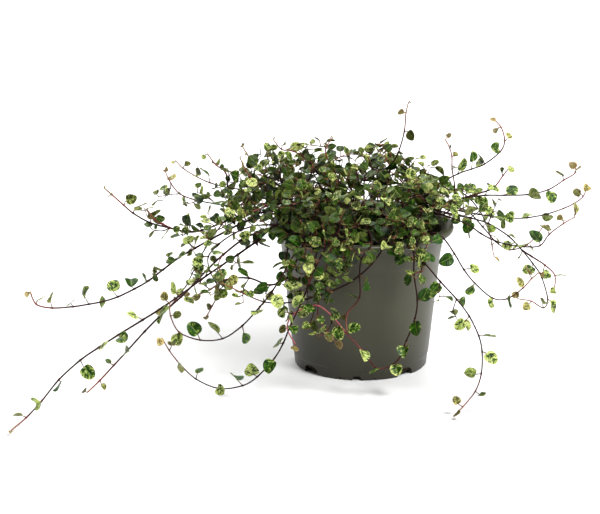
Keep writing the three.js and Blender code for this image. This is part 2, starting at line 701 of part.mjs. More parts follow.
function leafyStemSolid(stem) {
  const { joints, leaves } = stem;
  const last = joints.length - 1;
  const reach = reachAlong(joints);
  const skin = { vertices: [], triangles: [] };
  let sideways = [0.8, 0.6, 0];
  let turn = 0;
  let below = null;
  joints.forEach((joint, i) => {
    const along = directionAt(stem, i);
    sideways = across(sideways, along);
    const other = cross(along, sideways);
    const outward = (angle) => add(sideways.map((v) => v * Math.cos(angle)), other, Math.sin(angle));
    const leaf = leaves.get(i);
    let face = -1;
    if (leaf) {
      const aim = Math.atan2(dot(leaf.leaving, other), dot(leaf.leaving, sideways));
      const turns = Math.round((aim - turn) / THIRD - 0.5);
      turn = aim - (turns + 0.5) * THIRD;
      face = ((turns % 3) + 3) % 3;
    }
    const inStem = i === 0 && joint[2] > SOIL_TOP;
    const radius = inStem ? TWIG_FOOT : STEM_RADIUS + (TIP_RADIUS - STEM_RADIUS) * (reach[i] / reach[last]);
    const ring = put(skin, [0, 1, 2].map((k) => add(joint, outward(turn + k * THIRD), radius)));
    for (let k = 0; k < 3 && below; k++) {
      const [a, b, c, d] = [below[k], below[(k + 1) % 3], ring[(k + 1) % 3], ring[k]];
      if (k !== face) {
        skin.triangles.push([a, b, c], [a, c, d]);
        continue;
      }
      const edge = mix(skin.vertices[c], skin.vertices[d], 0.5);
      const [e] = put(skin, [add(edge, unit(minus(joint, joints[i - 1])), -STALK_ROOT)]);
      skin.triangles.push([a, b, e], [b, c, e], [d, a, e]);
      addLeaf(skin, leaf, [e, c, d]);
    }
    below = ring;
  });
  skin.triangles.push([0, 2, 1], below);
  return solidFrom(skin.vertices, skin.triangles);
}

const put = (skin, points) => points.map((point) => skin.vertices.push(point) - 1);

// The blade is folded along its midrib. Its two faces are split alike, so that they never cross.
function addLeaf(skin, leaf, root) {
  const half = LEAF_THICKNESS / 2;
  const outline = [...LEAF_OUTLINE, [1, 0], ...LEAF_OUTLINE.map(([u, v]) => [u, -v]).reverse()];
  const face = (lift) => put(skin, outline.map(([u, v]) => add(bladePoint(leaf, u, v), leaf.normal, lift)));
  const under = add(leaf.base, leaf.normal, -half);
  const [crest, left, right] = put(skin, [
    add(leaf.base, leaf.normal, half),
    add(under, leaf.side, STALK_HALF_WIDTH),
    add(under, leaf.side, -STALK_HALF_WIDTH),
  ]);
  const [up, low] = [face(half), face(-half)];
  const [tip, end] = [(outline.length - 1) / 2, outline.length - 1];
  const { triangles } = skin;
  triangles.push([crest, up[0], low[0]], [crest, low[0], left], [left, low[tip], right]);
  triangles.push([crest, right, low[end]], [crest, low[end], up[end]]);
  for (let i = 0; i < end; i++) {
    triangles.push([crest, up[i + 1], up[i]], [i < tip ? left : right, low[i], low[i + 1]]);
    triangles.push([up[i], up[i + 1], low[i + 1]], [up[i], low[i + 1], low[i]]);
  }
  addStalk(skin, root, [crest, right, left]);
}

// The stalk joins three corners on the stem to three at the blade, turned to where it twists least
function addStalk({ vertices, triangles }, root, end) {
  const twist = (turn) => root.reduce((sum, corner, k) =>
    sum + size(minus(vertices[corner], vertices[end[(k + turn) % 3]])), 0);
  const turn = [0, 1, 2].reduce((best, t) => (twist(t) < twist(best) ? t : best));
  for (let k = 0; k < 3; k++) {
    const [a, b] = [root[k], root[(k + 1) % 3]];
    const [c, d] = [end[(k + 1 + turn) % 3], end[(k + turn) % 3]];
    triangles.push([a, b, c], [a, c, d]);
  }
}

const plantSolid = ({ stems }) => stems.map(leafyStemSolid).reduce((joined, stem) => joined.add(stem));

// Pot: a turned shell, then the slots round its foot

const shape = (points) => points.map(([x, y]) => new THREE.Vector2(x, y));

function turned(points, sides) {
  const geometry = new THREE.LatheGeometry(shape(points), sides);
  geometry.rotateX(Math.PI / 2);
  return solidFromGeometry(geometry);
}

function potSolid() {
  const neck = POT_HEIGHT - LIP_DROP;
  let pot = turned([
    [0, 0],
    [FOOT_RADIUS - FOOT_STEP, 0],
    [outerRadius(FOOT_HEIGHT) - FOOT_STEP, FOOT_HEIGHT],
    [outerRadius(FOOT_HEIGHT + 0.8), FOOT_HEIGHT + 0.8],
    [NECK_RADIUS, neck],
    [LIP_RADIUS - 1.6, neck - 0.6],
    [LIP_RADIUS - 0.2, neck + 0.6],
    [LIP_RADIUS, neck + 2.2],
    [LIP_RADIUS - 0.8, POT_HEIGHT - 0.8],
    [LIP_RADIUS - 2.6, POT_HEIGHT],
    [NECK_RADIUS + 1.2, POT_HEIGHT - 0.9],
    [innerRadius(neck), neck],
    [innerRadius(FLOOR), FLOOR],
    [0, FLOOR],
  ], POT_SIDES);
  for (let i = 0; i < ARCHES; i++) {
    const turn = FIRST_ARCH + (i * 360) / ARCHES;
    pot = pot.subtract(slot(turn, i % 2 ? TALL_ARCH : LOW_ARCH));
    if (i % 2) continue;
    for (const side of [-NOTCH_TURN, NOTCH_TURN]) pot = pot.subtract(slot(turn + side, NOTCH));
  }
  return pot;
}

// A slot is cut along a spoke from an inner radius out past the wall, narrower at its top than at its foot
function slot(turn, { width, height, inner }) {
  const half = width / 2;
  const [low, top] = [height * SLOT_SHOULDER, half * SLOT_TOP];
  const outline = shape([[-half, -SLOT_PAST.foot], [half, -SLOT_PAST.foot], [half, low], [top, height],
    [-top, height], [-half, low]]);
  const depth = FOOT_RADIUS + SLOT_PAST.wall - inner;
  const geometry = new THREE.ExtrudeGeometry(new THREE.Shape(outline), { depth, bevelEnabled: false });
  geometry.translate(0, 0, inner);
  geometry.rotateX(Math.PI / 2);
  geometry.rotateZ(THREE.MathUtils.degToRad(turn + 90));
  return solidFromGeometry(geometry);
}

// Soil: a plug with a worn edge, and one hole for each stem that stands in it
function soilSolid(plants) {
  let soil = turned([
    [0, FLOOR + GAP],
    [innerRadius(FLOOR + GAP) - GAP, FLOOR + GAP],
    [innerRadius(SOIL_TOP - WORN_EDGE.depth) - GAP, SOIL_TOP - WORN_EDGE.depth],
    [innerRadius(SOIL_TOP) - WORN_EDGE.width, SOIL_TOP],
    [0, SOIL_TOP],
  ], SOIL_SIDES);
  for (const { stems } of plants) {
    const [x, y] = stems[0].joints[0];
    const hole = new THREE.CylinderGeometry(HOLE_RADIUS, HOLE_RADIUS, HOLE_DEPTH + 2, 3);
    hole.rotateX(Math.PI / 2);
    hole.rotateZ(Math.PI / 2 + Math.atan2(0.6, 0.8));
    hole.translate(x, y, SOIL_TOP + 1 - HOLE_DEPTH / 2);
    soil = soil.subtract(solidFromGeometry(hole));
  }
  return soil;
}

// Assembly

const pottedVine = new THREE.Group();

function addNode(name, solid, color, roughness) {
  const mesh = new THREE.Mesh(geometryFrom(solid), new THREE.MeshStandardMaterial({ color, roughness }));
  mesh.name = name;
  pottedVine.add(mesh);
}

const plants = growPlant();
addNode("pot", potSolid(), "#514f48", 0.5);
addNode("soil", soilSolid(plants), "#33271d", 0.95);
for (const grown of plants) addNode(grown.name, plantSolid(grown), "#67893c", 0.55);

export default pottedVine;
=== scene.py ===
# A potted variegated wire vine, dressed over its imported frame: a satin pot, crumbly soil, wiry stems with
# swollen joints, and folded, marbled leaves. Each plant piece stands for the frame's node of that plant.
# The plant is laid out in millimetres by the part's own rule, so that every stem and leaf of the frame is
# found again, and then gets the leaves that the frame leaves out.

import math

import bpy
import numpy as np
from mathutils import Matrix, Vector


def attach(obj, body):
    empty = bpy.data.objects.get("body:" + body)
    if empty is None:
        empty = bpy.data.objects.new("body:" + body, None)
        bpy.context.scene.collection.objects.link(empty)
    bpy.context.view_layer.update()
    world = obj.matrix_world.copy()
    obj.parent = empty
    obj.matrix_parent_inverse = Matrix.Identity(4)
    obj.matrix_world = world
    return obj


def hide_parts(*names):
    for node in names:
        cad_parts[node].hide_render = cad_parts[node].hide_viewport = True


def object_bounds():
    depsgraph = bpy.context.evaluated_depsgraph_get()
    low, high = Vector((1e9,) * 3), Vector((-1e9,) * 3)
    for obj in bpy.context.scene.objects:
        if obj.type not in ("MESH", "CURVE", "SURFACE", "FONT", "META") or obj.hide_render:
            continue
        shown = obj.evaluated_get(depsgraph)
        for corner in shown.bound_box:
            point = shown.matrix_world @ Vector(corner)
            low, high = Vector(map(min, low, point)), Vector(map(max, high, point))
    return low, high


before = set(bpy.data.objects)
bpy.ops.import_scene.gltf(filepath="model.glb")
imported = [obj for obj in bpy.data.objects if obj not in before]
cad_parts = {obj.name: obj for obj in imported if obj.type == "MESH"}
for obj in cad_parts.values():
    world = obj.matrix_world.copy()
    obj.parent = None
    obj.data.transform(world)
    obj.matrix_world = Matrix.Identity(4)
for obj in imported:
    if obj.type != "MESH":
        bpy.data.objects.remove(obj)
cad_box = [list(corner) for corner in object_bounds()]
MM = 0.001

# The part's own sizes, repeated here

POT_HEIGHT = 118
LIP_RADIUS = 75
LIP_DROP = 5.5
NECK_RADIUS = 66.5
FOOT_RADIUS = 54.5
FOOT_HEIGHT = 9
FOOT_STEP = 0.5
WALL = 1.6
FLOOR = 3.6
ARCHES = 8
FIRST_ARCH = -94.5
TALL_ARCH = (15, 7, 49)
LOW_ARCH = (7, 4.2, 49)
NOTCH = (5.5, 1.8, 46)
NOTCH_TURN = 15
SLOT_SHOULDER = 0.4
SLOT_BEND = 0.2
SLOT_STEPS = 9
SLOT_BELOW = 2
SLOT_PAST = 8

GAP = 0.3
SOIL_TOP = 104
HOLE_DEPTH = 7
ROOT_REACH = 52

STEM_RADIUS = 0.9
TIP_RADIUS = 0.55
BARE_STEP = 18
SPLINE_STEPS = 8
STEM_CLEARANCE = 2.6
STEM_TRIES = 70
TWIG_BARE = 8
YOUNG_LENGTH = 30
YOUNG_CROWDING = 0.3
YOUNG_SHRINK = 0.4
GAP_SPREAD = (0.75, 1.25)
STEM_AIR = 1

VINE_ROOTS = (12, ROOT_REACH)
VINE_TURN = 1.1
VINE_LEAST = 26
VINE_MORE = 8
WANDER_STEP = 0.25
SEEDS = {"vine": 100, "twig": 200, "shoot": 500, "side": 600, "leaves": 900, "filled": 3000,
         "share": 4000, "spray": 5000, "spray_leaves": 9000, "look": 20000}

LEAFY_SHARE = 0.52
LEAF_LENGTH = (9.2, 13)
LEAF_WIDTH = 0.92
LEAF_FOLD = 0.16
LEAF_SAG = 0.1
STALK_LENGTH = (3, 7)
BLADE_CLEARANCE = 2.1
OWN_CLEARANCE = 1.3
BEAD_STEP = 2.2
LEAF_TRIES = 7
LEAF_TURN = 2.2
LEAF_LIFT = 0.45
LEAF_DROOP = 0.3
LEAF_WOBBLE = 0.9
FACING_WOBBLE = 1
OUTWARD_SHARE = 0.45
ALONG_SHARE = 0.4
LEVEL_LEAST = 0.35
BEND_MOST = 0.5
BEND_BACK = 0.8
LEAF_AIR = 1.1
STALK_TESTED = 0.6

SHOOTS = 20
SHOOT_BARE = 24
SHOOT_GAP = 14
SHOOT_TURN = 0.4
SHOOT_ROOTS = (8, 42)
SHOOT_ROOT_SHARE = (0.6, 1)
SHOOT_HEART = 16
SHOOT_KNEE = (0.35, 16)
SHOOT_BEND = (0.7, 9, 126)
SHOOT_WANDER = 2
DOME_CENTRE = np.array((-20, -4, 114))
DOME_REACH = np.array((102, 92, 64))
DOME_EDGE = -0.1
DOME_FULL = (0.88, 1)
MOUND_EDGE = 1.05
SIDE_SHOOTS = [(0.5, 1.8), (0.7, -1.8)]
SIDE_TURN = 0.8
SIDE_OUT = (11, 24)
SIDE_LIFT = 7
SIDE_RISE = (16, -2)

GOLDEN_TURN = 2.39996
GOLDEN_SHARE = 0.618
UP = np.array([0.0, 0.0, 1.0])
LIGHT = np.array([-0.1, -0.45, 0.85])

# Where the picture shows leaves outside the mound, as points across and down. The frame's
# leaves there stand near these points. The leaves that this script adds don't follow them.
SEEN_LEAVES = [
    (105, 189), (137, 203), (148, 209), (166, 220), (163, 235), (194, 237), (187, 217), (175, 163),
    (193, 163), (167, 170), (180, 178), (207, 181), (180, 192), (200, 195), (219, 203), (182, 252),
    (194, 259), (119, 269), (120, 282), (132, 278), (147, 275), (95, 288), (59, 293), (71, 302),
    (107, 303), (46, 299), (32, 297), (159, 293), (177, 282), (175, 304), (192, 299), (128, 312),
    (160, 319), (190, 327), (206, 325), (177, 342), (128, 339), (127, 351), (108, 345), (80, 349),
    (91, 374), (86, 389), (57, 388), (36, 402), (18, 416), (12, 433), (185, 377), (230, 377),
    (231, 391), (163, 346), (253, 364), (257, 313), (240, 342), (240, 267), (237, 279), (240, 294),
    (278, 301), (225, 296), (247, 146), (293, 147), (410, 102), (399, 116), (413, 138), (380, 147),
    (498, 127), (496, 139), (488, 149), (472, 156), (481, 162), (501, 174), (499, 191), (513, 192),
    (539, 194), (550, 176), (572, 172), (553, 198), (578, 193), (586, 188), (501, 218), (527, 216),
    (542, 219), (545, 228), (572, 221), (528, 236), (521, 248), (510, 244), (493, 231), (463, 240),
    (446, 257), (476, 269), (470, 289), (486, 302), (515, 292), (522, 272), (544, 274), (563, 297),
    (552, 292), (554, 307), (543, 304), (524, 307), (509, 307), (539, 321), (456, 320), (495, 338),
    (467, 363), (483, 393), (450, 396), (457, 414), (298, 250), (303, 258), (331, 260), (317, 271),
    (304, 276), (300, 287), (299, 298), (288, 289), (286, 313), (296, 323), (276, 342), (293, 348),
    (294, 360), (267, 371), (310, 316), (317, 327), (337, 312), (330, 326), (338, 323), (329, 338),
    (340, 348), (357, 330), (366, 359), (403, 359), (397, 372), (366, 289), (354, 287), (346, 278),
    (353, 255), (366, 259), (395, 253), (428, 256), (419, 274), (407, 280), (427, 286), (423, 296),
    (394, 320), (416, 333), (428, 239), (384, 234),
]
SEEN_REACH = 18
SEEN_TRIES = 40
CAMERA_PLACE = np.array((-49.9, -2093.8, 680.7))
CAMERA_TILT = 15.8
CAMERA_FOCUS = 2670
PICTURE_MIDDLE = (300, 257)

# Long stems: name, leafless length, gap between joints, route, and twigs as (share, route)
VINES = [
    ("vine_left_floor", 40, 19,
     [(-63, -27, 127), (-88, -40, 110), (-126, -70, 91), (-155, -92, 75), (-204, -125, 52),
      (-229, -145, 38), (-247, -162, 20), (-262, -172, 6), (-269, -180, 2.5)], []),
    ("vine_left_fork", 45, 18,
     [(-60, -40, 128), (-92, -58, 121), (-117, -75, 105), (-139, -97, 87), (-163, -112, 68),
      (-184, -126, 48), (-206, -136, 26), (-214, -139, 19)], []),
    ("vine_left_mid", 30, 15,
     [(-66, -12, 128), (-94, -15, 122), (-148, -35, 97), (-167, -42, 83), (-196, -50, 69),
      (-222, -55, 64), (-246, -60, 63), (-260, -62, 67), (-264, -62, 77)], []),
    ("vine_loop_upper", 45, 17,
     [(-46, -60, 125), (-60, -84, 104), (-76, -94, 81), (-101, -102, 56), (-121, -105, 50),
      (-142, -107, 56), (-150, -108, 69), (-151, -109, 82)], []),
    ("vine_loop_lower", 30, 16,
     [(-24, -72, 126), (-36, -92, 110), (-48, -99, 81), (-57, -101, 62), (-68, -104, 38),
      (-88, -109, 18), (-109, -113, 13), (-129, -114, 20), (-147, -114, 38), (-157, -112, 54)], []),
    ("vine_cross_front", 38, 17,
     [(18, -70, 127), (9, -85, 110), (-12, -86, 91), (-42, -86, 79), (-62, -86, 75),
      (-81, -87, 77), (-100, -86, 86), (-113, -86, 92)], []),
    ("vine_left_low", 34, 15,
     [(-44, -63, 124), (-56, -76, 100), (-68, -78, 87), (-91, -77, 93), (-106, -76, 92),
      (-118, -78, 85), (-137, -80, 77)], []),
    ("vine_far_left", 24, 14,
     [(-70, -3, 128), (-98, -5, 124), (-133, -15, 114), (-154, -20, 118), (-177, -25, 127),
      (-197, -28, 145), (-205, -30, 153)],
     [(0.66, [(-163, -30, 126), (-170, -34, 132), (-172, -36, 138)])]),
    ("vine_high_left", 22, 14,
     [(-72, 8, 126), (-100, 10, 127), (-134, 8, 134), (-144, 6, 137), (-154, 5, 148),
      (-159, 5, 159)], []),
    ("vine_top_left", 22, 14,
     [(-68, 24, 130), (-91, 30, 136), (-115, 30, 140), (-130, 30, 146), (-143, 30, 153),
      (-151, 30, 161)],
     [(0.6, [(-110, 38, 148), (-120, 42, 156), (-126, 44, 164)])]),
    ("sprig_left", 20, 13,
     [(-58, 17, 138), (-78, 22, 151), (-87, 24, 159), (-93, 26, 168), (-97, 26, 175)], []),
    ("sprig_left_low", 20, 12,
     [(-66, 0, 138), (-84, 0, 149), (-93, 0, 160), (-98, 0, 171)], []),
    ("sprig_arch", 22, 12,
     [(-30, 10, 148), (-43, 12, 166), (-56, 12, 174), (-66, 12, 176), (-71, 12, 183)], []),
    ("sprig_back_left", 22, 12,
     [(-18, -5, 150), (-25, -5, 168), (-30, -5, 178), (-24, -5, 189)], []),
    ("vine_hang_left", 40, 13,
     [(-60, -50, 127), (-95, -55, 124), (-117, -62, 110), (-119, -66, 92), (-117, -66, 80),
      (-121, -66, 64)], []),
    ("vine_right_arch", 20, 14,
     [(50, 0, 142), (73, 0, 156), (101, 4, 166), (113, 5, 177), (115, 5, 188), (110, 5, 199),
      (105, 5, 203)], []),
    ("sprig_right", 24, 13,
     [(64, -16, 128), (75, -20, 142), (72, -20, 162), (71, -20, 180), (66, -20, 191)], []),
    ("vine_right_long", 24, 15,
     [(54, -8, 132), (88, -15, 143), (125, -25, 147), (144, -28, 150), (157, -30, 159),
      (169, -30, 165), (168, -30, 175)],
     [(0.42, [(105, -12, 149), (112, -9, 157), (119, -8, 166)])]),
    ("vine_right_mid", 24, 14,
     [(60, 13, 128), (92, 15, 121), (110, 15, 118), (132, 15, 117), (150, 15, 120),
      (167, 15, 126), (180, 15, 134), (184, 15, 144)], []),
    ("vine_right_low", 34, 15,
     [(56, -26, 132), (79, -35, 128), (99, -40, 116), (114, -42, 111), (131, -44, 109),
      (144, -46, 112), (150, -46, 123), (158, -46, 128), (168, -46, 134)], []),
    ("vine_right_drop", 34, 16,
     [(62, 0, 127), (88, -3, 122), (108, -8, 116), (124, -12, 104), (142, -20, 83),
      (148, -22, 70), (152, -24, 50), (146, -28, 54), (139, -30, 59), (127, -32, 62)],
     [(0.58, [(150, -27, 87), (156, -29, 79), (155, -31, 70)])]),
    ("vine_right_swag", 34, 15,
     [(46, -46, 126), (64, -59, 120), (81, -68, 95), (97, -74, 79), (109, -78, 75),
      (122, -80, 82), (130, -82, 92), (138, -82, 99)], []),
    ("vine_right_floor", 34, 17,
     [(28, -68, 126), (42, -84, 114), (60, -92, 94), (78, -100, 75), (89, -108, 56),
      (92, -118, 38), (88, -128, 20), (77, -138, 8), (70, -144, 3)], []),
    ("sprig_tall", 26, 16,
     [(18, -5, 150), (28, -5, 174), (33, -5, 187), (34, -5, 203), (37, -5, 218)], []),
    ("sprig_short", 24, 12,
     [(22, 8, 150), (24, 8, 166), (21, 8, 178), (13, 8, 181)], []),
    ("vine_front_long", 32, 18,
     [(31, -66, 127), (39, -84, 113), (41, -87, 100), (38, -88, 74), (34, -88, 45),
      (28, -90, 27), (14, -93, 25), (2, -95, 33), (-21, -95, 57), (-33, -94, 71), (-45, -93, 73),
      (-54, -92, 68), (-57, -91, 57), (-55, -90, 42)], []),
    ("vine_front_mid", 32, 17,
     [(3, -68, 127), (2, -83, 114), (0, -86, 104), (-5, -87, 82), (-10, -87, 67),
      (-10, -87, 56)], []),
    ("vine_front_left", 32, 15,
     [(-32, -67, 124), (-36, -83, 106), (-37, -85, 92), (-36, -84, 72), (-33, -84, 58),
      (-24, -84, 46)], []),
    ("tuft_rim_left", 28, 11,
     [(-52, -54, 126), (-61, -72, 113), (-58, -76, 98), (-51, -78, 86)], []),
    ("tuft_rim_front", 26, 11,
     [(-20, -68, 128), (-27, -82, 116), (-31, -84, 101)], []),
    ("tuft_rim_middle", 26, 11,
     [(-10, -70, 127), (-14, -83, 115), (-19, -85, 104)], []),
    ("tuft_rim_corner", 26, 11,
     [(-40, -62, 128), (-46, -80, 112), (-44, -83, 96), (-41, -82, 84)], []),
    ("vine_back_left", 30, 17,
     [(-50, 46, 128), (-86, 70, 122), (-112, 92, 96), (-134, 108, 60), (-150, 118, 26),
      (-166, 126, 5)], []),
    ("vine_back_arch", 30, 17,
     [(-20, 60, 132), (-30, 96, 132), (-38, 124, 112), (-44, 138, 84), (-42, 144, 62)], []),
    ("vine_back_hang", 30, 16,
     [(6, 66, 128), (10, 86, 112), (8, 92, 84), (2, 94, 54), (-10, 98, 30)], []),
    ("vine_back_right", 30, 17,
     [(42, 52, 130), (74, 84, 126), (98, 108, 106), (112, 124, 78), (118, 136, 52)], []),
    ("vine_back_swag", 30, 17,
     [(62, 34, 127), (92, 48, 112), (110, 60, 88), (128, 70, 74), (144, 76, 80),
      (156, 80, 94)], []),
]

# Plain arithmetic


def size(a):
    return math.sqrt(a[0] * a[0] + a[1] * a[1] + a[2] * a[2])


def unit(a):
    return a / size(a)


def mix(a, b, t):
    return a + (b - a) * t


def cross(a, b):
    return np.array([
        a[1] * b[2] - a[2] * b[1],
        a[2] * b[0] - a[0] * b[2],
        a[0] * b[1] - a[1] * b[0],
    ])


def across(a, normal):
    return unit(a - normal * (a @ normal))


def nearest(value):
    return math.floor(value + 0.5)


STREAM_LIMIT = 2147483647
STREAM_FACTOR = 16807
STREAM_START = (7919, 11)


class Stream:
    """A repeatable stream of numbers from 0 to 1."""

    def __init__(self, seed):
        self.state = STREAM_START[0] * (seed + STREAM_START[1])
        for _ in range(4):
            self.draw()

    def draw(self):
        self.state = self.state * STREAM_FACTOR % STREAM_LIMIT
        return self.state / STREAM_LIMIT

    def between(self, low, high):
        return low + (high - low) * self.draw()

    def wobble(self, reach):
        return np.array([(2 * self.draw() - 1) * reach for _ in range(3)])

    def bent(self, points, reach):
        return [np.array(point, float) + self.wobble(reach) for point in points]


# Curves, and joints along them


def spline(points, steps=SPLINE_STEPS):
    last = len(points) - 1
    line = []
    for i in range(last):
        a, b = points[max(i - 1, 0)], points[i]
        c, d = points[i + 1], points[min(i + 2, last)]
        for k in range(steps):
            t = k / steps
            line.append(0.5 * (2 * b + (c - a) * t + (2 * a - 5 * b + 4 * c - d) * t * t
                               + (3 * b - a - 3 * c + d) * t * t * t))
    line.append(points[last])
    return line


def reach_along(line):
    reach = [0.0]
    for a, b in zip(line, line[1:]):
        reach.append(reach[-1] + size(b - a))
    return reach


def point_at(line, reach, distance):
    i = 1
    while i < len(line) - 1 and reach[i] < distance:
        i += 1
    return mix(line[i - 1], line[i], (distance - reach[i - 1]) / (reach[i] - reach[i - 1]))


def youth_at(from_tip):
    return max(0.0, 1 - from_tip / YOUNG_LENGTH)


class Stem:
    """A stem as its joints, the first leafy one, and the leaves by joint."""

    def __init__(self, line, bare, gap, random):
        reach = reach_along(line)
        length = reach[-1]
        start = HOLE_DEPTH + 1 if line[0][2] < SOIL_TOP else 0
        places = []
        distance = length
        while distance > bare:
            places.insert(0, distance)
            step = gap * random.between(*GAP_SPREAD)
            distance -= step * (1 - YOUNG_CROWDING * youth_at(length - distance))
        leafy = len(places)
        spare = places[0] - start
        parts = max(1, nearest(spare / BARE_STEP))
        for k in range(parts - 1, 0, -1):
            places.insert(0, start + spare * k / parts)
        if start:
            places.insert(0, start)
        places.insert(0, 0)
        self.joints = [point_at(line, reach, place) for place in places]
        self.first = len(self.joints) - leafy
        self.leaves = {}

    def direction(self, i):
        last = len(self.joints) - 1
        return unit(self.joints[min(i + 1, last)] - self.joints[max(i - 1, 0)])

    def near(self, share):
        return self.joints[nearest((len(self.joints) - 1) * share)]


# Room: what has been placed so far, as stem pieces, beads along them and round blades

POT_SLOPE = (NECK_RADIUS - FOOT_RADIUS) / (POT_HEIGHT - LIP_DROP)
UNDER_LIP = POT_HEIGHT - LIP_DROP - 2


def inner_radius(z):
    return FOOT_RADIUS + POT_SLOPE * z - WALL - FOOT_STEP


def in_open_air(points, air):
    """Whether every point keeps this much air to the pot, the soil and the surface under the pot."""
    x, y, z = points.T
    r = np.hypot(x, y)
    outer = np.where(z > UNDER_LIP, LIP_RADIUS, FOOT_RADIUS + POT_SLOPE * z)
    inner = inner_radius(SOIL_TOP)
    outside = (z > POT_HEIGHT + air) | (r > outer + air)
    inside = (r < inner - air) & (z > SOIL_TOP + air)
    return bool(np.all((z >= air) & (outside | inside)))


class Pile:
    """Rows of numbers that grow as things are placed."""

    def __init__(self, *shape):
        self.rows = np.zeros((64, *shape))
        self.count = 0

    def add(self, row):
        if self.count == len(self.rows):
            self.rows = np.concatenate([self.rows, np.zeros_like(self.rows)])
        self.rows[self.count] = row
        self.count += 1

    def all(self):
        return self.rows[:self.count]


rod_from, rod_to, rod_middle, rod_owner = Pile(3), Pile(3), Pile(3), Pile()
bead_point, bead_owner = Pile(3), Pile()
blade_centre, blade_normal, blade_radius = Pile(3), Pile(3), Pile()
BLADE_SAMPLES = np.array([(0.5, 0), (1, 0), (0.15, 0.14), (0.15, -0.14), (0.88, 0.14), (0.88, -0.14),
                          (0.4, 0.14), (0.4, -0.14), (0.4, 0.42), (0.4, -0.42), (0.65, 0.14),
                          (0.65, -0.14), (0.65, 0.42), (0.65, -0.42)])
blade_samples = Pile(len(BLADE_SAMPLES) + 1, 3)


# Nothing farther from a leaf's middle than this can touch the leaf
NEAR = 45


def near_rows(places, centre):
    offset = places - centre
    return np.einsum("ri,ri->r", offset, offset) < NEAR * NEAR


def beads_between(a, b):
    parts = math.ceil(size(b - a) / BEAD_STEP)
    return [mix(a, b, k / parts) for k in range(1, parts + 1)]


def place_rod(a, b, owner):
    rod_from.add(a)
    rod_to.add(b)
    rod_middle.add((a + b) / 2)
    rod_owner.add(owner)
    for bead in beads_between(a, b):
        bead_point.add(bead)
        bead_owner.add(owner)


def gaps_to_rods(points, start, end):
    """Each point's gap to each rod."""
    along = end - start
    offset = points[:, None, :] - start[None]
    t = np.einsum("pri,ri->pr", offset, along) / np.einsum("ri,ri->r", along, along)
    t = np.clip(t, 0, 1)
    return np.linalg.norm(offset - along[None] * t[..., None], axis=2)


def gaps_to_blades(points, centre, normal, radius):
    """Each point's gap to each blade, as a flat disc. points is (count, 3) or (blades, count, 3)."""
    offset = points - centre[..., None, :]
    height = np.einsum("...pi,...i->...p", offset, normal)
    flat = np.linalg.norm(offset - height[..., None] * normal[..., None, :], axis=-1)
    return np.hypot(height, np.maximum(0, flat - radius[..., None]))


def room_around(joints, owner):
    """How far a stem keeps from the stems of other nodes, or 0 where it meets the pot."""
    points = []
    aired = []
    for i in range(1, len(joints)):
        beads = beads_between(joints[i - 1], joints[i])
        points += beads
        aired += beads if i > 1 else beads[-1:]
    if not in_open_air(np.array(aired), STEM_AIR):
        return 0
    low, high = np.min(points, 0) - NEAR, np.max(points, 0) + NEAR
    middles = rod_middle.all()
    others = (rod_owner.all() != owner) & np.all((middles > low) & (middles < high), 1)
    if not others.any():
        return math.inf
    return gaps_to_rods(np.array(points), rod_from.all()[others], rod_to.all()[others]).min()


# Stems: each tries its route, bent a little more each time, until it keeps clear of the others


def settle(owner, seed, bare, gap, route_for):
    random = Stream(seed)
    best, best_room = None, -1
    for attempt in range(STEM_TRIES):
        stem = Stem(spline(route_for(random, WANDER_STEP * attempt)), bare, gap, random)
        room = room_around(stem.joints, owner)
        if room > best_room:
            best, best_room = stem, room
        if room > STEM_CLEARANCE:
            break
    for a, b in zip(best.joints, best.joints[1:]):
        place_rod(a, b, owner)
    return best


def foot(x, y):
    return [np.array([x, y, z]) for z in (SOIL_TOP - HOLE_DEPTH + 2 * GAP, SOIL_TOP + 1, SOIL_TOP + 6)]


def vine_route(route, random, reach):
    turn = math.atan2(route[0][1], route[0][0]) + (random.draw() - 0.5) * VINE_TURN
    r = random.between(*VINE_ROOTS)
    x, y = r * math.cos(turn), r * math.sin(turn)
    rise = mix(np.array([x, y, SOIL_TOP + VINE_MORE]), np.array(route[0], float), 0.5)
    rise[2] = max(SOIL_TOP + VINE_LEAST, rise[2] + VINE_MORE)
    return foot(x, y) + random.bent([rise, *route], reach)


def shoot_route(i, random, reach):
    """The shoots' tips follow a spiral from the top of the dome down to its edge."""
    turn = i * GOLDEN_TURN + (random.draw() - 0.5) * SHOOT_TURN
    height = 1 - (1 - DOME_EDGE) * ((i + 0.5) / SHOOTS)
    out = math.sqrt(1 - height * height)
    full = random.between(*DOME_FULL)
    tip = np.array([math.cos(turn) * out, math.sin(turn) * out, height])
    tip = DOME_CENTRE + tip * DOME_REACH * full
    side = math.atan2(tip[1], tip[0])
    r = SHOOT_ROOTS[0] + SHOOT_ROOTS[1] * out * random.between(*SHOOT_ROOT_SHARE)
    x, y = r * math.cos(side), r * math.sin(side)
    heart = np.array([x, y, SOIL_TOP + SHOOT_HEART])
    share, lift = SHOOT_KNEE
    knee = mix(heart, tip, share)
    knee[2] += lift * out
    share, lift, least = SHOOT_BEND
    bend = mix(heart, tip, share)
    bend[2] = max(bend[2] + lift * out, least * out)
    return foot(x, y) + random.bent([knee, bend, tip], SHOOT_WANDER + reach)


def side_route(root, turn_by, random, reach):
    turn = math.atan2(root[1], root[0]) + turn_by + (random.draw() - 0.5) * SIDE_TURN
    away = np.array([math.cos(turn), math.sin(turn), 0])
    first = root + away * SIDE_OUT[0] + UP * SIDE_LIFT
    second = root + away * SIDE_OUT[1] + UP * random.between(*SIDE_RISE)
    return [root] + random.bent([first, second], SHOOT_WANDER + reach)


# Leaves: alternate along each stem, turned to the light


